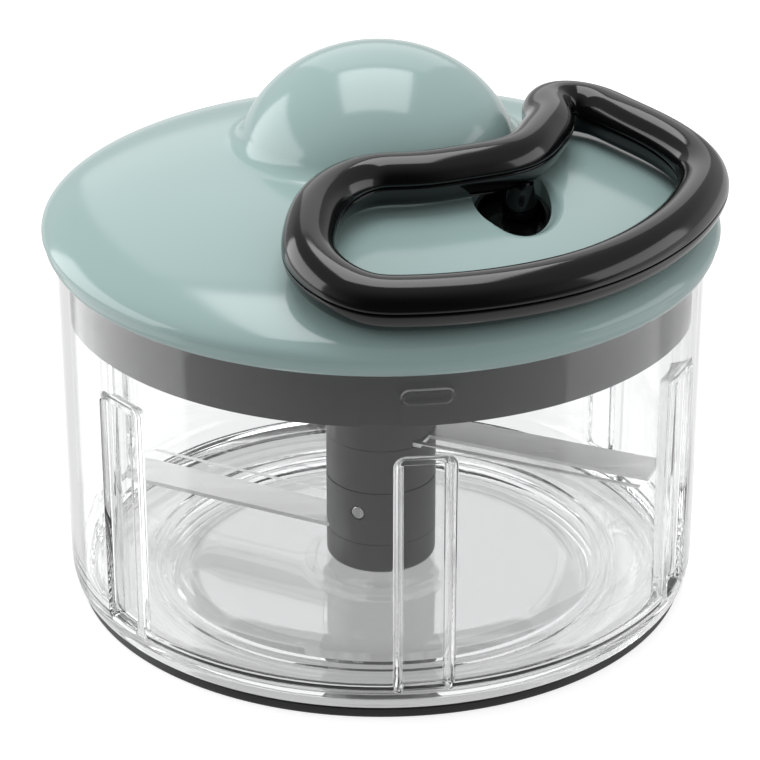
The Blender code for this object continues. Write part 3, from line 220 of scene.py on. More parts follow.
class Finishes(bpy.types.PropertyGroup):
    mint: colour("Mint plastic", "Lid and dome", (0.277, 0.385, 0.373))
    gray: colour("Gray plastic", "Insert and blade column", (0.068, 0.067, 0.069))
    clear: colour("Clear plastic", "Bowl", (0.985, 0.988, 0.990))
    black: colour("Black plastic", "Handle, stem and cord guide", (0.0030, 0.0030, 0.0032))
    rubber: colour("Rubber", "Base ring and shaft seal", (0.010, 0.010, 0.011))
    silicone: colour("Silicone", "Seal under the lid", (0.55, 0.56, 0.56))
    steel: colour("Steel", "Shaft, screws, spring and pin", (0.62, 0.62, 0.61))
    blade: colour("Blade steel", "Blades", (0.93, 0.93, 0.925))
    white: colour("White plastic", "Gears and reel", (0.78, 0.78, 0.75))
    bronze: colour("Bronze", "Bushes", (0.45, 0.28, 0.13))
    cord: colour("Cord", "Pull cord", (0.80, 0.80, 0.77))


def sizes(group):
    """The size group of that name on the scene."""
    return getattr(bpy.context.scene, "chopper_" + group)


# Finishes
def feed(tree, socket, value):
    """Sets an input to a plain value or links it to an output."""
    if isinstance(value, bpy.types.NodeSocket):
        tree.links.new(value, socket)
    else:
        socket.default_value = value


def add_node(tree, kind, **inputs):
    """A shader node with its inputs fed. Underscores in their names stand for spaces."""
    made = tree.nodes.new("ShaderNode" + kind)
    for name, value in inputs.items():
        feed(tree, made.inputs[name.replace("_", " ")], value)
    return made


def calc(tree, operation, first, second):
    node = add_node(tree, "Math")
    node.operation = operation
    feed(tree, node.inputs[0], first)
    feed(tree, node.inputs[1], second)
    return node.outputs["Value"]


def mixed(tree, factor, first, second, blend="MIX"):
    """One colour mixed with another, each plain or an output."""
    node = add_node(tree, "Mix")
    node.data_type = "RGBA"
    node.blend_type = blend
    feed(tree, node.inputs["Factor"], factor)
    feed(tree, node.inputs["A"], first)
    feed(tree, node.inputs["B"], second)
    return node.outputs["Result"]


def blended(tree, share, first, second):
    """One shader with a share of another in it."""
    node = add_node(tree, "MixShader")
    for socket, value in zip(node.inputs, (share, first, second)):
        feed(tree, socket, value)
    return node.outputs["Shader"]


def place_on_object(tree, scale=(1, 1, 1), turned_by=(0, 0, 0)):
    """Object coordinates in metres through a Mapping node."""
    where = add_node(tree, "TexCoord").outputs["Object"]
    return add_node(tree, "Mapping", Vector=where, Scale=scale, Rotation=turned_by).outputs["Vector"]


def noise(tree, vector, scale, detail=3, roughness=0.5):
    node = add_node(tree, "TexNoise", Vector=vector, Scale=scale, Detail=detail, Roughness=roughness)
    return node.outputs["Fac"]


def spread(tree, value, low, high):
    """Spreads a pattern's middle range over a range of values."""
    node = add_node(tree, "MapRange", Value=value, From_Min=0.3, From_Max=0.7, To_Min=low, To_Max=high)
    return node.outputs["Result"]


def drifting(tree, value, base, low, high):
    """The base colour, drifting between two shares of itself."""
    dark = [c * low for c in base]
    light = [min(c * high, 1) for c in base]
    return mixed(tree, value, (*dark, 1), (*light, 1))


def raise_grain(tree, shader, height, strength, distance):
    bump = add_node(tree, "Bump", Height=height, Strength=strength, Distance=distance)
    tree.links.new(bump.outputs["Normal"], shader.inputs["Normal"])


def new_finish(name, base, roughness, **settings):
    """A Principled finish. Settings are the shader's own sockets, with underscores for spaces."""
    material = bpy.data.materials.new(name)
    material.use_nodes = True
    tree = material.node_tree
    shader = tree.nodes["Principled BSDF"]
    shader.inputs["Base Color"].default_value = (*base, 1)
    shader.inputs["Roughness"].default_value = roughness
    for socket, value in settings.items():
        shader.inputs[socket.replace("_", " ")].default_value = value
    return tree, shader


def moulded(name, base, gloss, variation, grain_scale, grain, grain_height, **settings):
    """Moulded plastic: a slight drift in tone and gloss and a fine skin."""
    tree, shader = new_finish(name, base, gloss, **settings)
    vector = place_on_object(tree)
    drift = noise(tree, vector, 28, 2)
    cloud = noise(tree, vector, 60, 4)
    feed(tree, shader.inputs["Base Color"], drifting(tree, drift, base, 1 - variation, 1 + variation))
    feed(tree, shader.inputs["Roughness"], spread(tree, cloud, gloss * 0.88, gloss * 1.14))
    raise_grain(tree, shader, noise(tree, vector, grain_scale, 2), grain, grain_height)


def ground_metal(name, base, gloss, along, turned_by=(0, 0, 0), metallic=1):
    """Metal with fine lines along one direction. Less than fully metallic, it scatters like a satin grind."""
    tree, shader = new_finish(name, base, gloss, Metallic=metallic)
    lines = noise(tree, place_on_object(tree, along, turned_by), 1, 4, 0.6)
    cloud = noise(tree, place_on_object(tree), 60)
    feed(tree, shader.inputs["Base Color"], drifting(tree, cloud, base, 0.93, 1.05))
    feed(tree, shader.inputs["Roughness"], spread(tree, lines, gloss * 0.75, gloss * 1.3))
    raise_grain(tree, shader, lines, 0.12, 0.00002)


def braided(name, base):
    """A tightly braided cord: two crossing spirals of yarn along its own length."""
    tree, shader = new_finish(name, base, 0.7, Sheen_Weight=0.2)
    vector = place_on_object(tree)
    yarns = []
    for lean in (0.9, -0.9):
        way = add_node(tree, "Mapping", Vector=vector, Rotation=(lean, lean, 0)).outputs["Vector"]
        yarns.append(add_node(tree, "TexWave", Vector=way, Scale=700, Distortion=1.5).outputs["Fac"])
    weave = calc(tree, "MULTIPLY", *yarns)
    feed(tree, shader.inputs["Base Color"], drifting(tree, weave, base, 0.72, 1))
    raise_grain(tree, shader, weave, 0.7, 0.00025)


def clear_plastic(name, base):
    """Water-clear plastic with the slight waves of a moulded wall."""
    tree, shader = new_finish(name, base, 0.0, Transmission_Weight=1, IOR=1.49)
    vector = place_on_object(tree, (1, 1, 0.45))
    feed(tree, shader.inputs["Roughness"], spread(tree, noise(tree, vector, 45), 0.004, 0.02))
    raise_grain(tree, shader, noise(tree, vector, 34, 1), 0.06, 0.0006)


def make_finishes():
    """Makes the finishes. Their names differ from those of the frame's own plain materials."""
    tone = sizes("finishes")
    moulded("finish_mint", tone.mint, 0.14, 0.012, 260, 0.02, 0.00003, IOR=1.52)
    moulded("finish_gray", tone.gray, 0.36, 0.03, 1500, 0.10, 0.00002, IOR=1.49)
    clear_plastic("finish_clear", tone.clear)
    moulded("finish_black", tone.black, 0.12, 0.05, 300, 0.015, 0.00003, IOR=1.52)
    moulded("finish_rubber", tone.rubber, 0.48, 0.08, 1200, 0.18, 0.00004)
    moulded("finish_seal", tone.silicone, 0.5, 0.03, 900, 0.08, 0.00003, Subsurface_Weight=0.2)
    ground_metal("finish_steel", tone.steel, 0.24, (900, 900, 60))
    ground_metal("finish_blade", tone.blade, 0.36, (45, 1500, 1500), (0, 0, math.radians(24)), 0.8)
    moulded("finish_white", tone.white, 0.38, 0.02, 900, 0.06, 0.00003)
    moulded("finish_bronze", tone.bronze, 0.36, 0.10, 1600, 0.25, 0.00004, Metallic=1)
    braided("finish_cord", tone.cord)


def finish(name):
    """The finish of that short name."""
    return bpy.data.materials["finish_" + name]


# Modelling helpers
def tidy(bm):
    bmesh.ops.remove_doubles(bm, verts=bm.verts, dist=WELD)
    bmesh.ops.dissolve_degenerate(bm, edges=bm.edges, dist=WELD)
    bmesh.ops.recalc_face_normals(bm, faces=bm.faces)
    return bm


def turned(outline, steps, centre=(0, 0), closed=False):
    """Spins (radius, level) points about a vertical axis. A closed outline leaves a bore."""
    bm = bmesh.new()
    verts = [bm.verts.new((radius, 0, level)) for radius, level in outline]
    ends = verts[1:] + verts[:1] if closed else verts[1:]
    edges = [bm.edges.new(pair) for pair in zip(verts, ends)]
    bmesh.ops.spin(
        bm, geom=verts + edges, cent=(0, 0, 0), axis=(0, 0, 1), angle=math.tau, steps=steps, use_merge=True
    )
    bmesh.ops.translate(bm, verts=bm.verts, vec=(*centre, 0))
    return tidy(bm)


def block(size, place):
    """A box with its middle at a place."""
    bm = bmesh.new()
    bmesh.ops.create_cube(bm, size=1)
    bmesh.ops.scale(bm, vec=size, verts=bm.verts)
    bmesh.ops.translate(bm, vec=place, verts=bm.verts)
    return bm


def oval_post(centre, half_width, half_length, low, high, steps):
    """An upright post with an oval section."""
    bm = bmesh.new()
    bmesh.ops.create_cone(
        bm, cap_ends=True, segments=steps, radius1=1, radius2=1, depth=high - low,
        matrix=Matrix.Translation((0, 0, (low + high) / 2)),
    )
    bmesh.ops.scale(bm, vec=(half_width, half_length, 1), verts=bm.verts)
    bmesh.ops.translate(bm, verts=bm.verts, vec=(*centre, 0))
    return bm


def post(centre, radius, low, high, steps=48):
    return oval_post(centre, radius, radius, low, high, steps)


def net(columns, rows, where):
    """A grid whose vertices are carried to where(column, row); edges that meet are merged."""
    bm = bmesh.new()
    bmesh.ops.create_grid(bm, x_segments=columns, y_segments=rows, size=0.5)
    for vert in bm.verts:
        vert.co = where(round((vert.co.x + 0.5) * columns), round((vert.co.y + 0.5) * rows))
    return tidy(bm)


def object_from(bm, name):
    mesh = bpy.data.meshes.new(name)
    bm.to_mesh(mesh)
    bm.free()
    made = bpy.data.objects.new(name, mesh)
    bpy.context.scene.collection.objects.link(made)
    return made


def bake(thing):
    """Replaces an object's mesh by what its modifiers make of it."""
    seen = thing.evaluated_get(bpy.context.evaluated_depsgraph_get())
    mesh = bpy.data.meshes.new_from_object(seen)
    thing.modifiers.clear()
    thing.data = mesh
    mesh.name = thing.name


def carve(thing, joins=(), cuts=()):
    """Joins and cuts tool shapes, each a bmesh, and keeps the result as the mesh."""
    tools = []
    for operation, shapes in (("UNION", joins), ("DIFFERENCE", cuts)):
        for shape in shapes:
            tool = object_from(shape, "tool")
            step = thing.modifiers.new(operation.title(), "BOOLEAN")
            step.operation = operation
            step.solver = "EXACT"
            step.object = tool
            tools.append(tool)
    bake(thing)
    for tool in tools:
        bpy.data.objects.remove(tool)
    bm = bmesh.new()
    bm.from_mesh(thing.data)
    bmesh.ops.remove_doubles(bm, verts=bm.verts, dist=WELD)
    bmesh.ops.dissolve_degenerate(bm, edges=bm.edges, dist=WELD)
    bm.to_mesh(thing.data)
    bm.free()


def round_edges(thing, width, segments=3, angle=35):
    step = thing.modifiers.new("Rounded edges", "BEVEL")
    step.width = width
    step.segments = segments
    step.limit_method = "ANGLE"
    step.angle_limit = math.radians(angle)
    step.harden_normals = True


def settle(thing, stuff, body, *nodes, sharp=40):
    """Gives a piece its finish, its body and the nodes that it stands for."""
    thing.data.materials.clear()
    thing.data.materials.append(finish(stuff))
    thing.data.shade_smooth()
    if sharp:
        thing.data.set_sharp_from_angle(angle=math.radians(sharp))
    if body:
        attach(thing, body)
    if nodes:
        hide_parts(*nodes)


def refinish(stuff, *nodes):
    """A frame node whose shape is right keeps it and takes a better finish."""
    for name in nodes:
        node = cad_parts[name]
        node.data.materials.clear()
        node.data.materials.append(finish(stuff))


def smooth_step(value, low, high):
    share = min(max((value - low) / (high - low), 0), 1)
    return share * share * (3 - 2 * share)


def soft_lower(a, b, width):
    """The lower of two levels, with the edge where they meet rounded off."""
    near = max(width - abs(a - b), 0) / width
    return min(a, b) - near * near * width / 4


def quarter(start, end, steps, first_upright=False):
    """Points along a quarter of an ellipse between two (radius, level) points, the first left out."""
    points = []
    for i in range(1, steps + 1):
        a = math.pi / 2 * i / steps
        across, along = (1 - math.cos(a), math.sin(a)) if first_upright else (math.sin(a), 1 - math.cos(a))
        points.append((start[0] + (end[0] - start[0]) * across, start[1] + (end[1] - start[1]) * along))
    return points


# Lid
def lid_height(reach, radius=None, rise=None):
    lid = sizes("lid")
    share = min(reach / (radius or lid.radius), 1)
    return lid.crease_level + (rise or lid.rise) * math.sqrt(1 - share ** lid.fullness)


def dome_place():
    lid = sizes("lid")
    return Vector((math.cos(lid.dome_turn), math.sin(lid.dome_turn))) * lid.dome_reach


def dome_level(reach, inward=0):
    """Height of the dome's skin at a distance from its own axis."""
    lid = sizes("lid")
    root = lid_height(lid.dome_reach) - lid.dome_root
    share = min(reach / (lid.dome_radius - inward), 1)
    height = lid.dome_rise - inward + lid.dome_root
    return root + height * (1 - share ** lid.dome_fullness) ** lid.dome_roundness


def dome_reach_at(level):
    lid = sizes("lid")
    root = lid_height(lid.dome_reach) - lid.dome_root
    share = (level - root) / (lid.dome_rise + lid.dome_root)
    return lid.dome_radius * (1 - share ** (1 / lid.dome_roundness)) ** (1 / lid.dome_fullness)


def lid_skin_level(place):
    """The crown of the lid with the finger dish sunk into it."""
    lid = sizes("lid")
    crown = lid_height(place.length)
    dish = Vector((lid.dish_side, -lid.dish_forward))
    off = place - dish
    spread_out = (off.x / lid.dish_half_width) ** 2 + (off.y / lid.dish_half_length) ** 2
    if spread_out >= 1:
        return crown
    depth = 2 * lid.dish_depth
    hollow = lid_height(dish.length) + depth - lid.dish_depth - depth * math.sqrt(1 - spread_out)
    return soft_lower(crown, hollow, 0.5 * MM)


def bent(start, corner, end, t):
    """A value on the curve from start to end that leans towards the corner."""
    return start * (1 - t) ** 2 + corner * 2 * t * (1 - t) + end * t ** 2


def lid_solid():
    """The outside of the lid as one skin: dome, soft foot, crown, crease, lip and a flat underside."""
    lid = sizes("lid")
    columns, dome_rows, fillet_rows, crown_rows = 360, 26, 9, 92
    middle = dome_place()
    crease = ((-0.06, -0.10), (-0.55, -0.28), (-0.62, -0.6), (-0.63, -1.4))
    edge = ((0.85, 1.7), (0.35, 0.75), (0.1, 0.3), (-0.1, 0.07), (-0.35, 0))
    lip = [(lid.radius + out * MM, lid.crease_level + up * MM) for out, up in crease]
    lip += [(lid.lip_radius + out * MM, lid.lip_level + up * MM) for out, up in edge]
    lip.append((0, lid.lip_level))
    feet = []
    for column in range(columns + 1):
        angle = math.tau * column / columns
        way = Vector((math.cos(angle), math.sin(angle)))
        foot_level = lid_height((middle + way * (lid.dome_radius + lid.dome_fillet / 2)).length)
        reach = dome_reach_at(foot_level + lid.dome_fillet)
        step = 0.05 * MM
        slope = (dome_level(reach - step) - dome_level(reach + step)) / (2 * step)
        corner = reach + lid.dome_fillet / slope
        run = math.hypot(lid.dome_fillet / slope, lid.dome_fillet)
        feet.append((way, reach, corner, corner + run))

    def where(column, row):
        way, reach, corner, foot = feet[column]
        if row <= dome_rows:
            out = reach * math.sin(math.pi / 2 * row / dome_rows)
            place = middle + way * out
            return (place.x, place.y, dome_level(out))
        row -= dome_rows
        foot_place = middle + way * foot
        if row <= fillet_rows:
            t = row / fillet_rows
            place = middle + way * bent(reach, corner, foot, t)
            corner_level = lid_height((middle + way * corner).length)
            level = bent(dome_level(reach), corner_level, lid_height(foot_place.length), t)
            return (place.x, place.y, level)
        row -= fillet_rows
        if row <= crown_rows:
            t = 1 - (1 - row / crown_rows) ** 1.6
            place = foot_place.lerp(way * lid.radius, t)
            return (place.x, place.y, lid_skin_level(place))
        radius, level = lip[row - crown_rows - 1]
        return (way.x * radius, way.y * radius, level)

    return net(columns, dome_rows + fillet_rows + crown_rows + len(lip), where)


def screw_places():
    """The four screws of the lid, read from the frame."""
    places = []
    for number in range(1, 5):
        low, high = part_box(f"lid_screw_{number}")
        places.append(((low + high) / 2).to_2d())
    return places


def lid_cavity():
    """The room under the lid, less the posts, the rib and the boss that stand in it."""
    lid = sizes("lid")
    insert = sizes("insert")
    inside = lid.radius - lid.wall
    mouth = lid.lip_level - 2 * MM
    steps = 14
    shares = [math.sin(math.pi / 2 * i / steps) for i in range(steps - 1, -1, -1)]
    outline = [(0, mouth), (lid.lip_inner_radius, mouth)]
    for share in [lid.lip_inner_radius / inside] + shares:
        outline.append((inside * share, lid_height(inside * share, inside, lid.rise - lid.wall)))
    cavity = object_from(turned(outline, 120), "cavity")
    dome_radius = lid.dome_radius - lid.dome_wall
    steps = 16
    dome = [(0, lid.crease_level), (dome_radius, lid.crease_level)]
    for i in range(steps + 1):
        reach = dome_radius * math.cos(math.pi / 2 * i / steps)
        dome.append((reach, dome_level(reach, lid.dome_wall)))
    above = lid.crease_level + lid.rise + lid.dome_rise + 2 * MM
    rib_level = insert.flange_level + insert.flange_height + CLEARANCE
    rib_inner, rib_outer = 70.7 * MM, 72.5 * MM
    rib = [(rib_inner, rib_level), (rib_outer, rib_level), (rib_outer, above), (rib_inner, above)]
    axle_boss_level = 109.25 * MM
    stays = [post(dome_place(), AXLE_BOSS_RADIUS, axle_boss_level, above), turned(rib, 120, closed=True)]
    screw_post_radius = 3.6 * MM
    screw_post_level = insert.floor_level + insert.floor + CLEARANCE
    stays += [post(place, screw_post_radius, screw_post_level, above) for place in screw_places()]
    boss = ((lid.dish_side + lid.well_side) / 2, -(lid.dish_forward + lid.well_forward) / 2)
    boss_wall = 2 * MM
    half_width, half_length = lid.dish_half_width + boss_wall, lid.dish_half_length + boss_wall
    stays.append(oval_post(boss, half_width, half_length, lid.boss_level, above, 64))
    carve(cavity, joins=[turned(dome, 96, dome_place())])
    carve(cavity, cuts=stays)
    bm = bmesh.new()
    bm.from_mesh(cavity.data)
    bpy.data.objects.remove(cavity)
    return bm


def make_lid_shell():
    lid = sizes("lid")
    shell = object_from(lid_solid(), "lid_shell_skin")
    above = lid.crease_level + 2 * lid.rise
    centre = (lid.well_side, -lid.well_forward)
    well = oval_post(centre, lid.well_half_width, lid.well_half_length, lid.boss_level - MM, above, 96)
    axle_bore_low, axle_bore_high = 107 * MM, 112.25 * MM
    screw_bore_low, screw_bore_high = 73 * MM, 85.3 * MM
    bores = [post(dome_place(), AXLE_BORE_RADIUS, axle_bore_low, axle_bore_high)]
    for place in screw_places():
        bores.append(post(place, SCREW_BORE_RADIUS, screw_bore_low, screw_bore_high, 24))
    carve(shell, cuts=[lid_cavity(), well] + bores)
    settle(shell, "mint", "lid", "lid_shell", sharp=32)


# Insert under the lid
def make_insert():
    part = sizes("insert")
    low, high = part.floor_level, part.floor_level + part.floor
    top = part.flange_level + part.flange_height
    inner = part.skirt_radius - part.skirt_wall
    outline = [
        (0, low), (inner - 0.8 * MM, low), (inner, low - 0.3 * MM), (inner, part.skirt_level),
        (part.skirt_radius, part.skirt_level), (part.skirt_radius, part.flange_level),
        (part.flange_radius, part.flange_level), (part.flange_radius, top), (inner, top), (inner, high + MM),
        (inner - MM, high), (0, high),
    ]
    insert = object_from(turned(outline, 240), "lid_insert_moulding")
    under, over = 70 * MM, 78 * MM
    boss_low, boss_high = 71.4 * MM, 76.4 * MM
    axle_seat, axle_foot_top = low + 1.2 * MM, 75.6 * MM
    plate_post_radius, plate_post_top = 3 * MM, 80.5 * MM
    plate_bore_radius, plate_bore_low, plate_bore_high = 1.3 * MM, 77.1 * MM, 82 * MM
    joins = [post((0, 0), part.boss_radius, boss_low, boss_high, 96)]
    joins.append(post(dome_place(), AXLE_BOSS_RADIUS, low + MM, axle_foot_top))
    joins += [post(place, plate_post_radius, low + MM, plate_post_top) for place in PLATE_POSTS]
    cuts = [post((0, 0), part.bore_radius, under, over, 96)]
    cuts.append(post(dome_place(), AXLE_BORE_RADIUS, axle_seat, over))
    cuts += [post(place, SCREW_BORE_RADIUS, under, over) for place in screw_places()]
    cuts += [post(place, plate_bore_radius, plate_bore_low, plate_bore_high, 24) for place in PLATE_POSTS]
    cuts.append(skirt_arch())
    carve(insert, joins=joins, cuts=cuts)
    round_edges(insert, 0.25 * MM, 2)
    settle(insert, "gray", "lid", "lid_insert")


def skirt_arch():
    """The shallow arch pressed into the outside of the skirt, open at its lower edge."""
    part = sizes("insert")
    middle = (part.recess_start + part.recess_end) / 2
    half = part.skirt_radius * (part.recess_end - part.recess_start) / 2
    low = part.skirt_level - MM
    corner = part.recess_corner
    outline = [(half, low), (half, part.recess_top)]
    for i in range(9):
        a = math.pi / 2 * i / 8
        across, up = corner - corner * math.sin(a), corner * math.cos(a) - corner
        outline.append((across - half, part.recess_top + up))
    outline.append((-half, low))
    out = Vector((math.cos(middle), math.sin(middle), 0))
    side = Vector((-math.sin(middle), math.cos(middle), 0))
    bm = bmesh.new()
    inner = part.skirt_radius - part.recess_depth
    face = bm.faces.new([bm.verts.new(out * inner + side * x + Vector((0, 0, z))) for x, z in outline])
    moved = bmesh.ops.extrude_face_region(bm, geom=[face])["geom"]
    verts = [v for v in moved if isinstance(v, bmesh.types.BMVert)]
    bmesh.ops.translate(bm, verts=verts, vec=out * 3 * MM)
    return tidy(bm)


def make_seal():
    low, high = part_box("lid_seal")
    width = 1.4 * MM
    outer = high.x
    inner = outer - width
    section = [(inner, low.z), (outer, low.z), (outer, high.z), (inner, high.z)]
    seal = object_from(turned(section, 160, closed=True), "lid_seal_ring")
    round_edges(seal, 0.25 * MM, 3)
    settle(seal, "seal", "lid", "lid_seal")


def make_guide():
    """The black cup in the well, with a hole in its floor for the cord."""
    lid = sizes("lid")
    low, high = (corner.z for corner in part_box("cord_guide"))
    centre = (lid.well_side, -lid.well_forward)
    wide, tall = lid.well_half_width - CLEARANCE, lid.well_half_length - CLEARANCE
    guide = object_from(oval_post(centre, wide, tall, low, high, 96), "cord_guide_cup")
    overhang, flange_low, flange_high = 2.4 * MM, 89.9 * MM, lid.boss_level - CLEARANCE
    flange_width, flange_length = lid.well_half_width + overhang, lid.well_half_length + overhang
    flange = oval_post(centre, flange_width, flange_length, flange_low, flange_high, 96)
    wall, floor, hole_radius = 0.9 * MM, 3 * MM, 2 * MM
    inside = oval_post(centre, wide - wall, tall - wall, low + floor, high + MM, 96)
    hole = post(stem_place(), hole_radius, low - MM, low + floor + 2 * MM, 40)
    carve(guide, joins=[flange], cuts=[inside, hole])
    round_edges(guide, 0.2 * MM, 3)
    settle(guide, "black", "lid", "cord_guide")


# Bowl
def stem_place():
    grip = sizes("handle")
    return Vector((math.cos(grip.stem_turn), math.sin(grip.stem_turn))) * grip.stem_reach


def rib_turns():
    bowl = sizes("bowl")
    return [bowl.rib_turn + math.tau * i / bowl.rib_count for i in range(bowl.rib_count)]


def wall_turns():
    """Directions of the upright grid lines: close together over each rib, wide between them."""
    bowl = sizes("bowl")
    rib_zone = 9 * MM
    half = rib_zone / bowl.foot_radius
    under_latch, plain, coarse = 104, 44, 15
    gap = math.tau / bowl.rib_count - 2 * half
    turns = []
    for start in rib_turns():
        fine = plain if turns else under_latch
        turns += [start - half + 2 * half * i / fine for i in range(fine)]
        turns += [start + half + gap * i / coarse for i in range(coarse)]
    return turns + [turns[0] + math.tau]


def off_rectangle(x, y, half_x, low, high, corner):
    """Signed distance to an upright rectangle with round corners, negative inside."""
    dx = abs(x) - half_x + corner
    dy = abs(y - (low + high) / 2) - (high - low) / 2 + corner
    return math.hypot(max(dx, 0), max(dy, 0)) + min(max(dx, dy), 0) - corner


def rib_share(angle, level, grow):
    """How far a point of the wall is inside a rib or channel, from 0 to 1."""
    bowl = sizes("bowl")
    pitch = math.tau / bowl.rib_count
    off = (angle - bowl.rib_turn + pitch / 2) % pitch - pitch / 2
    side = off * bowl.foot_radius
    low = bowl.channel_bottom if grow == 0 else bowl.foot_level
    corner = MM + grow
    away = off_rectangle(side, level, bowl.channel_width / 2 + grow, low, bowl.channel_top + grow, corner)
    ease = bowl.channel_round if grow == 0 else bowl.ridge_round
    return 1 - smooth_step(away, -1.2 * ease, 0.8 * ease)


def latch_share(angle, level):
    """The raised pad under the rim, with a rounded bead along its edge, from 0 to 1."""
    bowl = sizes("bowl")
    off = (angle - bowl.latch_turn + math.pi) % math.tau - math.pi
    half = bowl.latch_height / 2
    low, high = bowl.latch_level - half, bowl.latch_level + half
    away = off_rectangle(off * bowl.top_radius, level, bowl.latch_length / 2, low, high, half)
    across = 2 * away / bowl.latch_bead + 1
    bead = max(1 - across * across, 0)
    inside = 0.5 * (1 - smooth_step(away, -bowl.latch_bead, 0))
    return max(bead, inside)


def levels(*spans):
    """Heights in spans of (start, end, step), without repeats."""
    found = []
    for start, end, step in spans:
        count = max(round(abs(end - start) / step), 1)
        found += [start + (end - start) * i / count for i in range(count)]
    return found + [spans[-1][1]]


def bowl_rows():
    """Rows of the bowl's skin from the middle underneath, up the outside and down the inside."""
    bowl = sizes("bowl")
    ledge = 0.3 * MM
    rows = [(0, bowl.lift), (0.4 * bowl.seat_radius, bowl.lift), (0.8 * bowl.seat_radius, bowl.lift)]
    rows.append((bowl.seat_radius - ledge, bowl.lift))
    rows += quarter(rows[-1], (bowl.seat_radius, bowl.lift + ledge), 3)
    rows += [(bowl.seat_radius, bowl.seat_level - ledge)]
    rows += quarter(rows[-1], (bowl.seat_radius + ledge, bowl.seat_level), 3, first_upright=True)
    foot_start = (bowl.foot_radius - bowl.foot_width, bowl.foot_level)
    rows += [(foot_start[0] - ledge, foot_start[1] + 0.1 * ledge), foot_start]
    rows = [(r, z, "") for r, z in rows]
    foot_end = (bowl.foot_radius, bowl.foot_level + bowl.foot_height)
    rows += [(r, z, "outer") for r, z in quarter(foot_start, foot_end, 16)]
    edge = bowl.rim_level - bowl.rim_round
    slope = (bowl.top_radius - bowl.foot_radius) / (bowl.rim_level - foot_end[1])
    bottom, top = foot_end[1], bowl.channel_top
    latch = bowl.latch_level
    outside = levels(
        (bottom, bottom + 2 * MM, 0.3 * MM), (bottom + 2 * MM, top - 2 * MM, 3 * MM),
        (top - 2 * MM, top + MM, 0.25 * MM), (top + MM, latch - 3 * MM, 3 * MM),
        (latch - 3 * MM, latch + 3 * MM, 0.16 * MM), (latch + 3 * MM, edge, MM),
    )[1:]
    rows += [(bowl.foot_radius + (z - bottom) * slope, z, "outer") for z in outside]
    rim = bowl.top_radius
    inner = rim - bowl.wall
    mouth = quarter((rim, edge), (rim - bowl.rim_round, bowl.rim_level), 5, first_upright=True)
    mouth.append((inner + bowl.rim_round, bowl.rim_level))
    mouth += quarter(mouth[-1], (inner, edge), 5)
    rows += [(r, z, "") for r, z in mouth]
    rib_top = top + bowl.wall
    curve_top = bowl.foot_level + bowl.floor_curve
    inside = levels(
        (edge, rib_top + 2 * MM, 3 * MM), (rib_top + 2 * MM, rib_top - 3 * MM, 0.25 * MM),
        (rib_top - 3 * MM, curve_top, 3 * MM),
    )[1:]
    rows += [(bowl.foot_radius - bowl.wall + (z - bottom) * slope, z, "inner") for z in inside]
    floor_level = bowl.lift + bowl.floor
    end = (bowl.floor_radius, floor_level)
    rows += [(r, z, "inner") for r, z in quarter(rows[-1][:2], end, 22, first_upright=True)]
    pad_top = floor_level + bowl.pad_height
    ease = 0.4 * MM
    bead = bowl.floor_bead
    rest = []
    for edge in (bowl.floor_radius - bead, bowl.floor_radius - 8 * bead):
        rest += [(edge, floor_level), (edge - 0.7 * bead, floor_level + 0.6 * bead)]
        rest += [(edge - 1.5 * bead, floor_level + 0.6 * bead), (edge - 2.2 * bead, floor_level)]
    rest += [(0.7 * bowl.floor_radius, floor_level), (0.5 * bowl.floor_radius, floor_level)]
    pad_slope = 5 * MM
    for i in range(9):
        share = i / 8
        height = bowl.pad_height * smooth_step(share, 0, 1)
        rest.append((bowl.pad_radius + pad_slope * (0.5 - share), floor_level + height))
    rest.append((bowl.pad_radius * 0.6, pad_top))
    rest += [(bowl.pivot_radius + 2 * ease, pad_top)]
    rest += quarter(rest[-1], (bowl.pivot_radius, pad_top + 2 * ease), 3)
    pivot_top = floor_level + bowl.pivot_height
    rest += [(bowl.pivot_radius, pivot_top - ease)]
    rest += quarter(rest[-1], (bowl.pivot_radius - ease, pivot_top), 3, first_upright=True) + [(0, pivot_top)]
    return rows + [(r, z, "") for r, z in rest]


def make_bowl():
    bowl = sizes("bowl")
    rows = bowl_rows()
    turns = wall_turns()
    channel_floor = bowl.foot_radius - bowl.channel_depth
    rib_face = channel_floor - bowl.wall

    def where(column, row):
        radius, level, side = rows[row]
        angle = turns[column]
        if side == "outer":
            share = rib_share(angle, level, 0)
            radius += (min(radius, channel_floor) - radius) * share
            radius += (bowl.top_radius + bowl.latch_relief - radius) * latch_share(angle, level)
        elif side == "inner":
            share = rib_share(angle, level, bowl.ridge_wall)
            radius += (min(radius, rib_face) - radius) * share
        return (radius * math.cos(angle), radius * math.sin(angle), level)

    skin = object_from(net(len(turns) - 1, len(rows) - 1, where), "bowl_moulding")
    settle(skin, "clear", "bowl", "bowl", sharp=0)


def make_base_ring():
    low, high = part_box("base_ring")
    width, edge = 3.7 * MM, 0.5 * MM
    outer = high.x
    inner = outer - width
    outline = [(inner, low.z + edge)]
    outline += quarter(outline[-1], (inner + edge, low.z), 4, first_upright=True)
    outline.append((outer - 2 * edge, low.z))
    outline += quarter(outline[-1], (outer, low.z + 2 * edge), 5)
    outline.append((outer, high.z - edge))
    outline += quarter(outline[-1], (outer - edge, high.z), 4, first_upright=True)
    outline.append((inner, high.z))
    ring = object_from(turned(outline, 240, closed=True), "base_ring_rubber")
    settle(ring, "rubber", "bowl", "base_ring")


# Blade column and blades
def make_section(name, outline, cuts=(), made_name=None, closed=True):
    """One gray section of the column, turned from its outline."""
    section = object_from(turned(outline, 128, closed=closed), made_name or name + "_moulding")
    if cuts:
        carve(section, cuts=cuts)
    round_edges(section, 0.18 * MM, 2)
    settle(section, "gray", "blades", name)


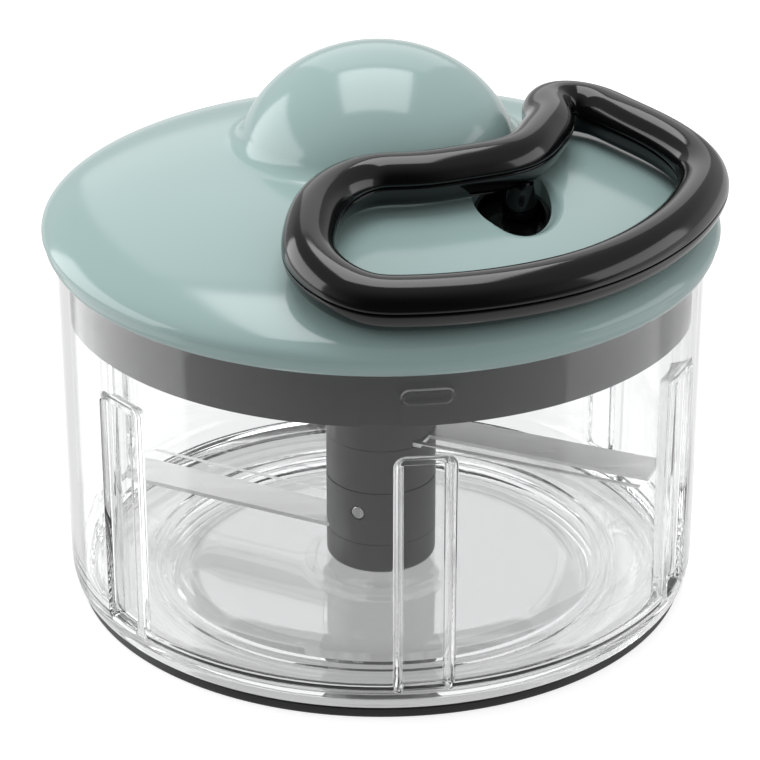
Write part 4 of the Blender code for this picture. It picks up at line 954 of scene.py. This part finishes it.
def make_column():
    part = sizes("column")
    bore = part.bore_radius
    low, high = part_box("column_foot")
    radius = high.x
    heel = (radius - part.heel, low.z)
    outline = [(bore, low.z), heel] + quarter(heel, (radius, low.z + part.heel), 6)
    make_section("column_foot", outline + [(radius, high.z), (bore, high.z)])
    low, high = (corner.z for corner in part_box("column_lower_sleeve"))
    beyond = 16 * MM
    cuts = [pin_bar(part.pin_bore_radius, beyond), blade_way(low, part.lower_turn)]
    make_section("column_lower_sleeve", lipped(low, radius) + [(radius, high), (bore, high)], cuts)
    low, high = (corner.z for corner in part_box("column_middle_sleeve"))
    make_section("column_middle_sleeve", [(bore, low), (radius, low), (radius, high), (bore, high)])
    low, high = (corner.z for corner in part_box("column_top_socket"))
    mouth, mouth_radius = part.mouth_level, part.mouth_radius
    outline = [(0, part.core_top), (bore, part.core_top)] + lipped(low, radius)
    outline += [(radius, high), (mouth_radius, high), (mouth_radius, mouth), (0, mouth)]
    slot_top = mouth + MM
    slot_size = (part.slot_width, part.slot_length, slot_top - part.slot_bottom)
    slot = block(slot_size, (0, 0, (slot_top + part.slot_bottom) / 2))
    cuts = [slot, blade_way(low, part.upper_turn)]
    make_section("column_top_socket", outline, cuts, "column_top_moulding", closed=False)
    pin_radius, pin_half_length = 1.55 * MM, 12.96 * MM
    pin = object_from(pin_bar(pin_radius, pin_half_length), "cross_pin_steel")
    round_edges(pin, 0.25 * MM, 3)
    settle(pin, "steel", "blades", "cross_pin")
    refinish("gray", "column_core")


def lipped(low, radius):
    """The lower end of a section, from its bore to its outside, with a thin lip down over the blade's hub."""
    part = sizes("column")
    hub_room = radius - part.lip_wall
    lip_low = low - part.lip_drop
    return [(part.bore_radius, low), (hub_room, low), (hub_room, lip_low), (radius, lip_low)]


def blade_way(level, direction):
    """The gap in a section's lower lip that its blade passes through."""
    part = sizes("column")
    reach = 20 * MM
    over = 0.05 * MM
    width = part.blade_front + part.blade_back + 2 * CLEARANCE
    place = (reach / 2, (part.blade_back - part.blade_front) / 2, level - part.lip_drop / 2)
    gap = block((reach, width, part.lip_drop + 2 * over), place)
    bmesh.ops.rotate(gap, verts=gap.verts, cent=(0, 0, 0), matrix=Matrix.Rotation(direction, 3, "Z"))
    return gap


def pin_bar(radius, half_length):
    """A bar through the column at the height and direction of the cross pin."""
    low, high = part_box("cross_pin")
    bm = bmesh.new()
    bmesh.ops.create_cone(
        bm, cap_ends=True, segments=40, radius1=radius, radius2=radius, depth=2 * half_length
    )
    for axis, angle in (("Y", 90), ("Z", -115)):
        matrix = Matrix.Rotation(math.radians(angle), 3, axis)
        bmesh.ops.rotate(bm, verts=bm.verts, cent=(0, 0, 0), matrix=matrix)
    bmesh.ops.translate(bm, verts=bm.verts, vec=(0, 0, (low.z + high.z) / 2))
    return bm


def make_blades():
    refinish("blade", "lower_blade", "upper_blade")


# Handle, stem and cord
def closed_curve(points, count, bend_weight):
    """Points along the smooth closed curve through the given ones, closer together where it bends."""
    key = np.array([tuple(p) for p in points])
    size = len(key)
    step = np.linalg.norm(np.roll(key, -1, axis=0) - key, axis=1)
    before = np.roll(step, 1)
    matrix = np.zeros((size, size))
    for i in range(size):
        matrix[i, i] = 2 * (before[i] + step[i])
        matrix[i, (i - 1) % size] += before[i]
        matrix[i, (i + 1) % size] += step[i]
    rise = (np.roll(key, -1, axis=0) - key) / step[:, None]
    bend = np.linalg.solve(matrix, 6 * (rise - np.roll(rise, 1, axis=0)))
    share = np.linspace(0, 1, 24, endpoint=False)
    a, b = (1 - share)[:, None], share[:, None]
    fine = []
    for i in range(size):
        k = (i + 1) % size
        curl = ((a ** 3 - a) * bend[i] + (b ** 3 - b) * bend[k]) * step[i] ** 2 / 6
        fine.append(a * key[i] + b * key[k] + curl)
    fine = np.vstack(fine)
    ahead = np.roll(fine, -1, axis=0) - fine
    way = np.unwrap(np.arctan2(ahead[:, 1], ahead[:, 0]))
    effort = np.linalg.norm(ahead, axis=1) + bend_weight * np.abs(np.diff(way, append=way[-1]))
    run = np.concatenate([[0], np.cumsum(effort)])
    loop = np.vstack([fine, fine[:1]])
    wanted = np.linspace(0, run[-1], count, endpoint=False)
    return [Vector([np.interp(s, run, loop[:, axis]) for axis in range(2)]) for s in wanted]


def handle_stations(count):
    """Points of the grip's middle line, each with its outward and upward directions."""
    lid, grip = sizes("lid"), sizes("handle")
    keys = []
    for degrees, share in HANDLE_ROUTE_SHARES:
        angle = math.radians(degrees)
        keys.append((share * lid.radius * math.cos(angle), share * lid.radius * math.sin(angle)))
    flat = closed_curve(keys, count, 12 * MM)
    over = grip.clearance + grip.radius
    line = [Vector((p.x, p.y, lid_height(p.length) + over)) for p in flat]
    stations = []
    for i, point in enumerate(line):
        along = (line[(i + 1) % count] - line[i - 1]).normalized()
        side = along.cross(Vector((0, 0, 1))).normalized()
        stations.append((point, side, side.cross(along).normalized()))
    return stations


def shell_section(start, end):
    """Half a ring as a closed outline, with its four corners eased."""
    grip = sizes("handle")
    outer, inner, ease = grip.radius, grip.radius - grip.wall, grip.seam_round
    outer_gap, inner_gap = grip.seam_gap / 2 / outer, grip.seam_gap / 2 / inner
    points = []
    edge = ease / outer
    points.append((outer - ease * 0.3, start + outer_gap + edge * 0.3))
    for i in range(41):
        a = start + outer_gap + edge + (end - start - 2 * outer_gap - 2 * edge) * i / 40
        points.append((outer, a))
    points.append((outer - ease * 0.3, end - outer_gap - edge * 0.3))
    points.append((outer - ease, end - outer_gap))
    for i in range(17):
        points.append((inner, end - inner_gap + (start - end + 2 * inner_gap) * i / 16))
    points.append((outer - ease, start + outer_gap))
    return [(r * math.cos(a), r * math.sin(a)) for r, a in points]


def swept_shell(start, end, stations):
    section = shell_section(start, end)

    def where(column, row):
        point, side, up = stations[column % len(stations)]
        a, b = section[row % len(section)]
        return point + side * a + up * b

    return net(len(stations), len(section), where)


def make_handle():
    grip = sizes("handle")
    stations = handle_stations(288)
    upper_end = math.tau + grip.seam_start
    upper = object_from(swept_shell(grip.seam_end, upper_end, stations), "handle_upper_shell")
    settle(upper, "black", "handle", "handle_upper", sharp=0)
    lower = object_from(swept_shell(grip.seam_start, grip.seam_end, stations), "handle_lower_shell")
    level = handle_level(stations)
    neck_hole = 2.4 * MM
    carve(lower, cuts=[post(stem_place(), neck_hole, level - grip.radius - 2 * MM, level, 40)])
    settle(lower, "black", "handle", "handle_lower", sharp=30)


def handle_level(stations):
    place = stem_place()
    return min(stations, key=lambda s: (s[0].to_2d() - place).length)[0].z


def make_stem():
    low, high = (corner.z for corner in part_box("cord_stem"))
    grip = sizes("handle")
    level = handle_level(handle_stations(288))
    neck = level - grip.radius - CLEARANCE
    collar, belly, waist, spigot, head = 4.2 * MM, 4.3 * MM, 2.9 * MM, 2.1 * MM, 2.8 * MM
    bore, edge = 1.3 * MM, 0.5 * MM
    belly_level = low + 1.3 * MM
    outline = [(bore, low), (collar - edge, low)] + quarter((collar - edge, low), (collar, low + edge), 4)
    outline.append((belly, belly_level))
    steps = 18
    for i in range(1, steps + 1):
        t = i / steps
        ease = smooth_step(t, -0.15, 1.0)
        outline.append((belly + (waist - belly) * ease, belly_level + (neck - belly_level) * t))
    outline += [(spigot, neck), (spigot, high - MM), (head, high - MM), (head, high), (bore, high)]
    stem = object_from(turned(outline, 72, stem_place(), closed=True), "cord_stem_moulding")
    settle(stem, "black", "handle", "cord_stem", sharp=35)


def make_cord():
    """The cord that shows between the lid and the handle when the handle is pulled."""
    stem_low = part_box("cord_stem")[0].z
    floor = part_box("cord_guide")[0].z + 1.5 * MM
    place = stem_place()
    radius = sizes("handle").cord_radius
    steps, rows = 24, 48
    low, high = floor, stem_low + 1.2 * MM

    def where(column, row):
        angle = math.tau * column / steps
        if row in (0, rows):
            return (place.x, place.y, low if row == 0 else high)
        level = low + (high - low) * (row - 1) / (rows - 2)
        return (place.x + radius * math.cos(angle), place.y + radius * math.sin(angle), level)

    cord = object_from(net(steps, rows, where), "pulled_cord")
    settle(cord, "cord", None, sharp=0)
    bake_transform(cord)
    refinish("cord", "cord_winding", "cord_lead", "handle_cord", "cord_knot")


# Stage
def make_floor():
    """A pale floor, white to the camera, that keeps the object's shadow.

    Glossy and clear skins see it pale beside and behind the object, dark towards the camera and a little
    polished. Under and close round the bowl they see a painted shadow, darker than the floor beyond.
    """
    bm = bmesh.new()
    bmesh.ops.create_grid(bm, x_segments=1, y_segments=1, size=4)
    floor = object_from(bm, "floor")
    material = bpy.data.materials.new("pale_floor")
    material.use_nodes = True
    material.cycles.emission_sampling = "NONE"
    tree = material.node_tree
    tree.nodes.clear()
    matt = add_node(tree, "BsdfDiffuse", Color=(0.5, 0.5, 0.5, 1))
    glow = add_node(tree, "Emission", Strength=brightest_ray(tree, 0.75, 0, 0))
    lit = add_node(tree, "AddShader")
    feed(tree, lit.inputs[0], matt.outputs["BSDF"])
    feed(tree, lit.inputs[1], glow.outputs["Emission"])
    where = add_node(tree, "TexCoord").outputs["Object"]
    away = add_node(tree, "VectorMath")
    away.operation = "LENGTH"
    feed(tree, away.inputs[0], where)
    # Painted shadow under the bowl: for glossy and clear skins the floor's tone falls to 0.62 within 54 mm of
    # the middle, easing back to full at 80 mm
    tone = ramp(tree, away.outputs["Value"], (0.054, 0.62), (0.080, 1))
    along = add_node(tree, "SeparateXYZ", Vector=where).outputs["Y"]
    depth = add_node(tree, "MapRange", Value=along, From_Min=-0.40, From_Max=0.10).outputs["Result"]
    level = at_least(tree, ramp(tree, depth, (0, 0.03), (0.55, 0.95)), "Is Transmission Ray", 0.35)
    seen = add_node(tree, "Emission", Color=tone, Strength=level)
    polish = add_node(tree, "BsdfGlossy", Color=(1, 1, 1, 1), Roughness=0.08)
    polished = blended(tree, 0.3, seen.outputs["Emission"], polish.outputs["BSDF"])
    surface = blended(tree, brightest_ray(tree, 0, 1, 1), lit.outputs["Shader"], polished)
    add_node(tree, "OutputMaterial", Surface=surface)
    floor.data.materials.append(material)


def brightest_ray(tree, camera, glossy, transmission):
    """A level that depends on how a ray comes: from the camera, off a glossy skin or through clear plastic.

    It falls a little for rays that have left a matt skin.
    """
    path = add_node(tree, "LightPath").outputs
    level = calc(tree, "MULTIPLY", path["Is Camera Ray"], camera)
    level = calc(tree, "MAXIMUM", level, calc(tree, "MULTIPLY", path["Is Glossy Ray"], glossy))
    level = calc(tree, "MAXIMUM", level, calc(tree, "MULTIPLY", path["Is Transmission Ray"], transmission))
    bounced = add_node(tree, "MapRange", Value=path["Diffuse Depth"], To_Min=1, To_Max=0.85)
    return calc(tree, "MULTIPLY", level, bounced.outputs["Result"])


def at_least(tree, value, ray, level):
    """A value that doesn't fall below a level for rays of one kind."""
    least = calc(tree, "MULTIPLY", add_node(tree, "LightPath").outputs[ray], level)
    return calc(tree, "MAXIMUM", value, least)


def ramp(tree, value, *stops):
    """A gray ramp with (position, level) stops. Positions run from 0 to 1."""
    node = tree.nodes.new("ShaderNodeValToRGB")
    node.color_ramp.interpolation = "EASE"
    for stop, (place, level) in enumerate(stops):
        element = node.color_ramp.elements[stop] if stop < 2 else node.color_ramp.elements.new(place)
        element.position = place
        element.color = (level, level, level, 1)
    tree.links.new(value, node.inputs["Fac"])
    return node.outputs["Color"]


def make_world():
    """Even light for matt skins. Glossy skins see a pale room that darkens upwards and towards the camera."""
    world = bpy.data.worlds.new("studio")
    bpy.context.scene.world = world
    world.use_nodes = True
    world.cycles.sampling_method = "NONE"
    tree = world.node_tree
    tree.nodes.clear()
    way = add_node(tree, "SeparateXYZ", Vector=add_node(tree, "TexCoord").outputs["Generated"]).outputs
    depth = add_node(tree, "MapRange", Value=way["Y"], From_Min=-1).outputs["Result"]
    upwards = ramp(tree, way["Z"], (0.20, 0.48), (0.50, 0.35))
    backwards = ramp(tree, depth, (0.03, 0.03), (0.42, 1.0))
    tone = at_least(tree, mixed(tree, 1, upwards, backwards, "MULTIPLY"), "Is Transmission Ray", 0.35)
    room = add_node(tree, "Background", Color=at_least(tree, tone, "Is Camera Ray", 1))
    soft = add_node(tree, "Background", Color=(1, 1, 1, 1), Strength=0.68)
    rays = brightest_ray(tree, 1, 1, 1)
    surface = blended(tree, rays, soft.outputs["Background"], room.outputs["Background"])
    add_node(tree, "OutputWorld", Surface=surface)


def softbox(name, place, aim, width, height, radiance):
    """An area lamp, as bright to look at as a surface of that radiance."""
    light = bpy.data.lights.new(name, "AREA")
    light.shape = "RECTANGLE"
    light.size = width
    light.size_y = height
    light.energy = radiance * math.pi * width * height
    lamp = bpy.data.objects.new(name, light)
    bpy.context.scene.collection.objects.link(lamp)
    lamp.location = place
    lamp.rotation_euler = (Vector(aim) - Vector(place)).to_track_quat("-Z", "Y").to_euler()


def make_lights():
    middle = (0, 0, 0.07)
    softbox("overhead softbox", (-0.022, 0.43, 1.17), (-0.022, 0.43001, 0), 0.77, 1.01, 3.7)
    softbox("back panel", (0, 1.1, 0.65), middle, 0.87, 0.78, 0.7)
    softbox("left panel", (-1.03, 0.25, 0.38), middle, 1.30, 0.66, 2.8)
    softbox("right panel", (1.07, 0.0, 0.36), middle, 0.90, 0.50, 1.5)


def let_light_through():
    """Enough bounces for light that runs along inside the clear wall."""
    cycles = bpy.context.scene.cycles
    cycles.max_bounces = 32
    cycles.glossy_bounces = 24
    cycles.transmission_bounces = 32


def make_camera():
    focal_pixels, picture_pixels, sensor = 3241, 760, 36
    camera = bpy.data.cameras.new("camera")
    camera.sensor_width = sensor
    camera.lens = focal_pixels / picture_pixels * sensor
    camera.shift_x = -1 / picture_pixels
    camera.clip_start = 0.01
    camera.clip_end = 20
    eye = bpy.data.objects.new("camera", camera)
    bpy.context.scene.collection.objects.link(eye)
    elevation, away, aim_level = math.radians(25.8), 0.760, 0.0484
    eye.location = (0, -away * math.cos(elevation), aim_level + away * math.sin(elevation))
    eye.rotation_euler = (math.pi / 2 - elevation, 0, 0)
    bpy.context.scene.camera = eye


# Operators
class ChopperStep(bpy.types.Operator):
    """One step of the chopper's making"""

    bl_options = {"REGISTER", "UNDO"}

    def execute(self, context):
        self.make()
        return {"FINISHED"}


class CHOPPER_OT_finishes(ChopperStep):
    """Make every plastic, metal and rubber finish"""

    bl_idname = "chopper.finishes"
    bl_label = "Finishes"

    def make(self):
        make_finishes()


class CHOPPER_OT_camera(ChopperStep):
    """Set the camera at the photograph's viewing angle"""

    bl_idname = "chopper.camera"
    bl_label = "Camera"

    def make(self):
        make_camera()


class CHOPPER_OT_bowl(ChopperStep):
    """Make the clear bowl and the rubber ring under it"""

    bl_idname = "chopper.bowl"
    bl_label = "Bowl and base ring"

    def make(self):
        make_bowl()
        make_base_ring()


class CHOPPER_OT_blades(ChopperStep):
    """Make the blade column with its pin, and finish the blades"""

    bl_idname = "chopper.blades"
    bl_label = "Column and blades"

    def make(self):
        make_column()
        make_blades()


class CHOPPER_OT_lid(ChopperStep):
    """Make the lid with its dome, dish and well"""

    bl_idname = "chopper.lid"
    bl_label = "Lid"

    def make(self):
        make_lid_shell()


class CHOPPER_OT_insert(ChopperStep):
    """Make the gray insert, its seal and the cord's guide"""

    bl_idname = "chopper.insert"
    bl_label = "Insert, seal and guide"

    def make(self):
        make_insert()
        make_seal()
        make_guide()


class CHOPPER_OT_handle(ChopperStep):
    """Make the two shells of the handle and its stem"""

    bl_idname = "chopper.handle"
    bl_label = "Handle and stem"

    def make(self):
        make_handle()
        make_stem()


class CHOPPER_OT_cord(ChopperStep):
    """Make the cord that the handle pulls out"""

    bl_idname = "chopper.cord"
    bl_label = "Cord"

    def make(self):
        make_cord()


class CHOPPER_OT_works(ChopperStep):
    """Finish the gears, reel, spring, bearings and screws"""

    bl_idname = "chopper.works"
    bl_label = "Works"

    def make(self):
        refinish("white", "reel_gear", "drive_pinion", "cord_reel", "spring_cover", "reel_washer")
        refinish("steel", "drive_shaft", "shaft_circlip", "reel_axle", "spring_arbor", "power_spring")
        refinish("steel", "plate_screw_1", "plate_screw_2", "plate_screw_3")
        refinish("steel", "lid_screw_1", "lid_screw_2", "lid_screw_3", "lid_screw_4")
        refinish("bronze", "shaft_bush_lower", "shaft_bush_upper")
        refinish("rubber", "shaft_seal")
        refinish("gray", "gear_plate")


class CHOPPER_OT_stage(ChopperStep):
    """Make the floor, the soft lights and the pale surroundings"""

    bl_idname = "chopper.stage"
    bl_label = "Stage"

    def make(self):
        make_floor()
        make_world()
        make_lights()
        let_light_through()
        bpy.context.scene.view_settings.view_transform = "Standard"


STEPS = (
    CHOPPER_OT_finishes, CHOPPER_OT_camera, CHOPPER_OT_bowl, CHOPPER_OT_blades, CHOPPER_OT_lid,
    CHOPPER_OT_insert, CHOPPER_OT_handle, CHOPPER_OT_cord, CHOPPER_OT_works, CHOPPER_OT_stage,
)


class CHOPPER_PT_panel(bpy.types.Panel):
    """The steps of the chopper's making"""

    bl_idname = "CHOPPER_PT_panel"
    bl_label = "Pull-cord chopper"
    bl_space_type = "VIEW_3D"
    bl_region_type = "UI"
    bl_category = "Chopper"

    def draw(self, context):
        for step in STEPS:
            self.layout.operator(step.bl_idname)


GROUPS = {
    "lid": LidSizes, "insert": InsertSizes, "bowl": BowlSizes, "column": ColumnSizes, "handle": HandleSizes,
    "finishes": Finishes,
}


def register():
    for name, group in GROUPS.items():
        bpy.utils.register_class(group)
        setattr(bpy.types.Scene, "chopper_" + name, PointerProperty(type=group))
    for made in (*STEPS, CHOPPER_PT_panel):
        bpy.utils.register_class(made)


def unregister():
    for made in reversed((*STEPS, CHOPPER_PT_panel)):
        bpy.utils.unregister_class(made)
    for name, group in GROUPS.items():
        delattr(bpy.types.Scene, "chopper_" + name)
        bpy.utils.unregister_class(group)


def main():
    register()
    for step in STEPS:
        family, name = step.bl_idname.split(".")
        getattr(getattr(bpy.ops, family), name)()


if __name__ == "__main__":
    main()
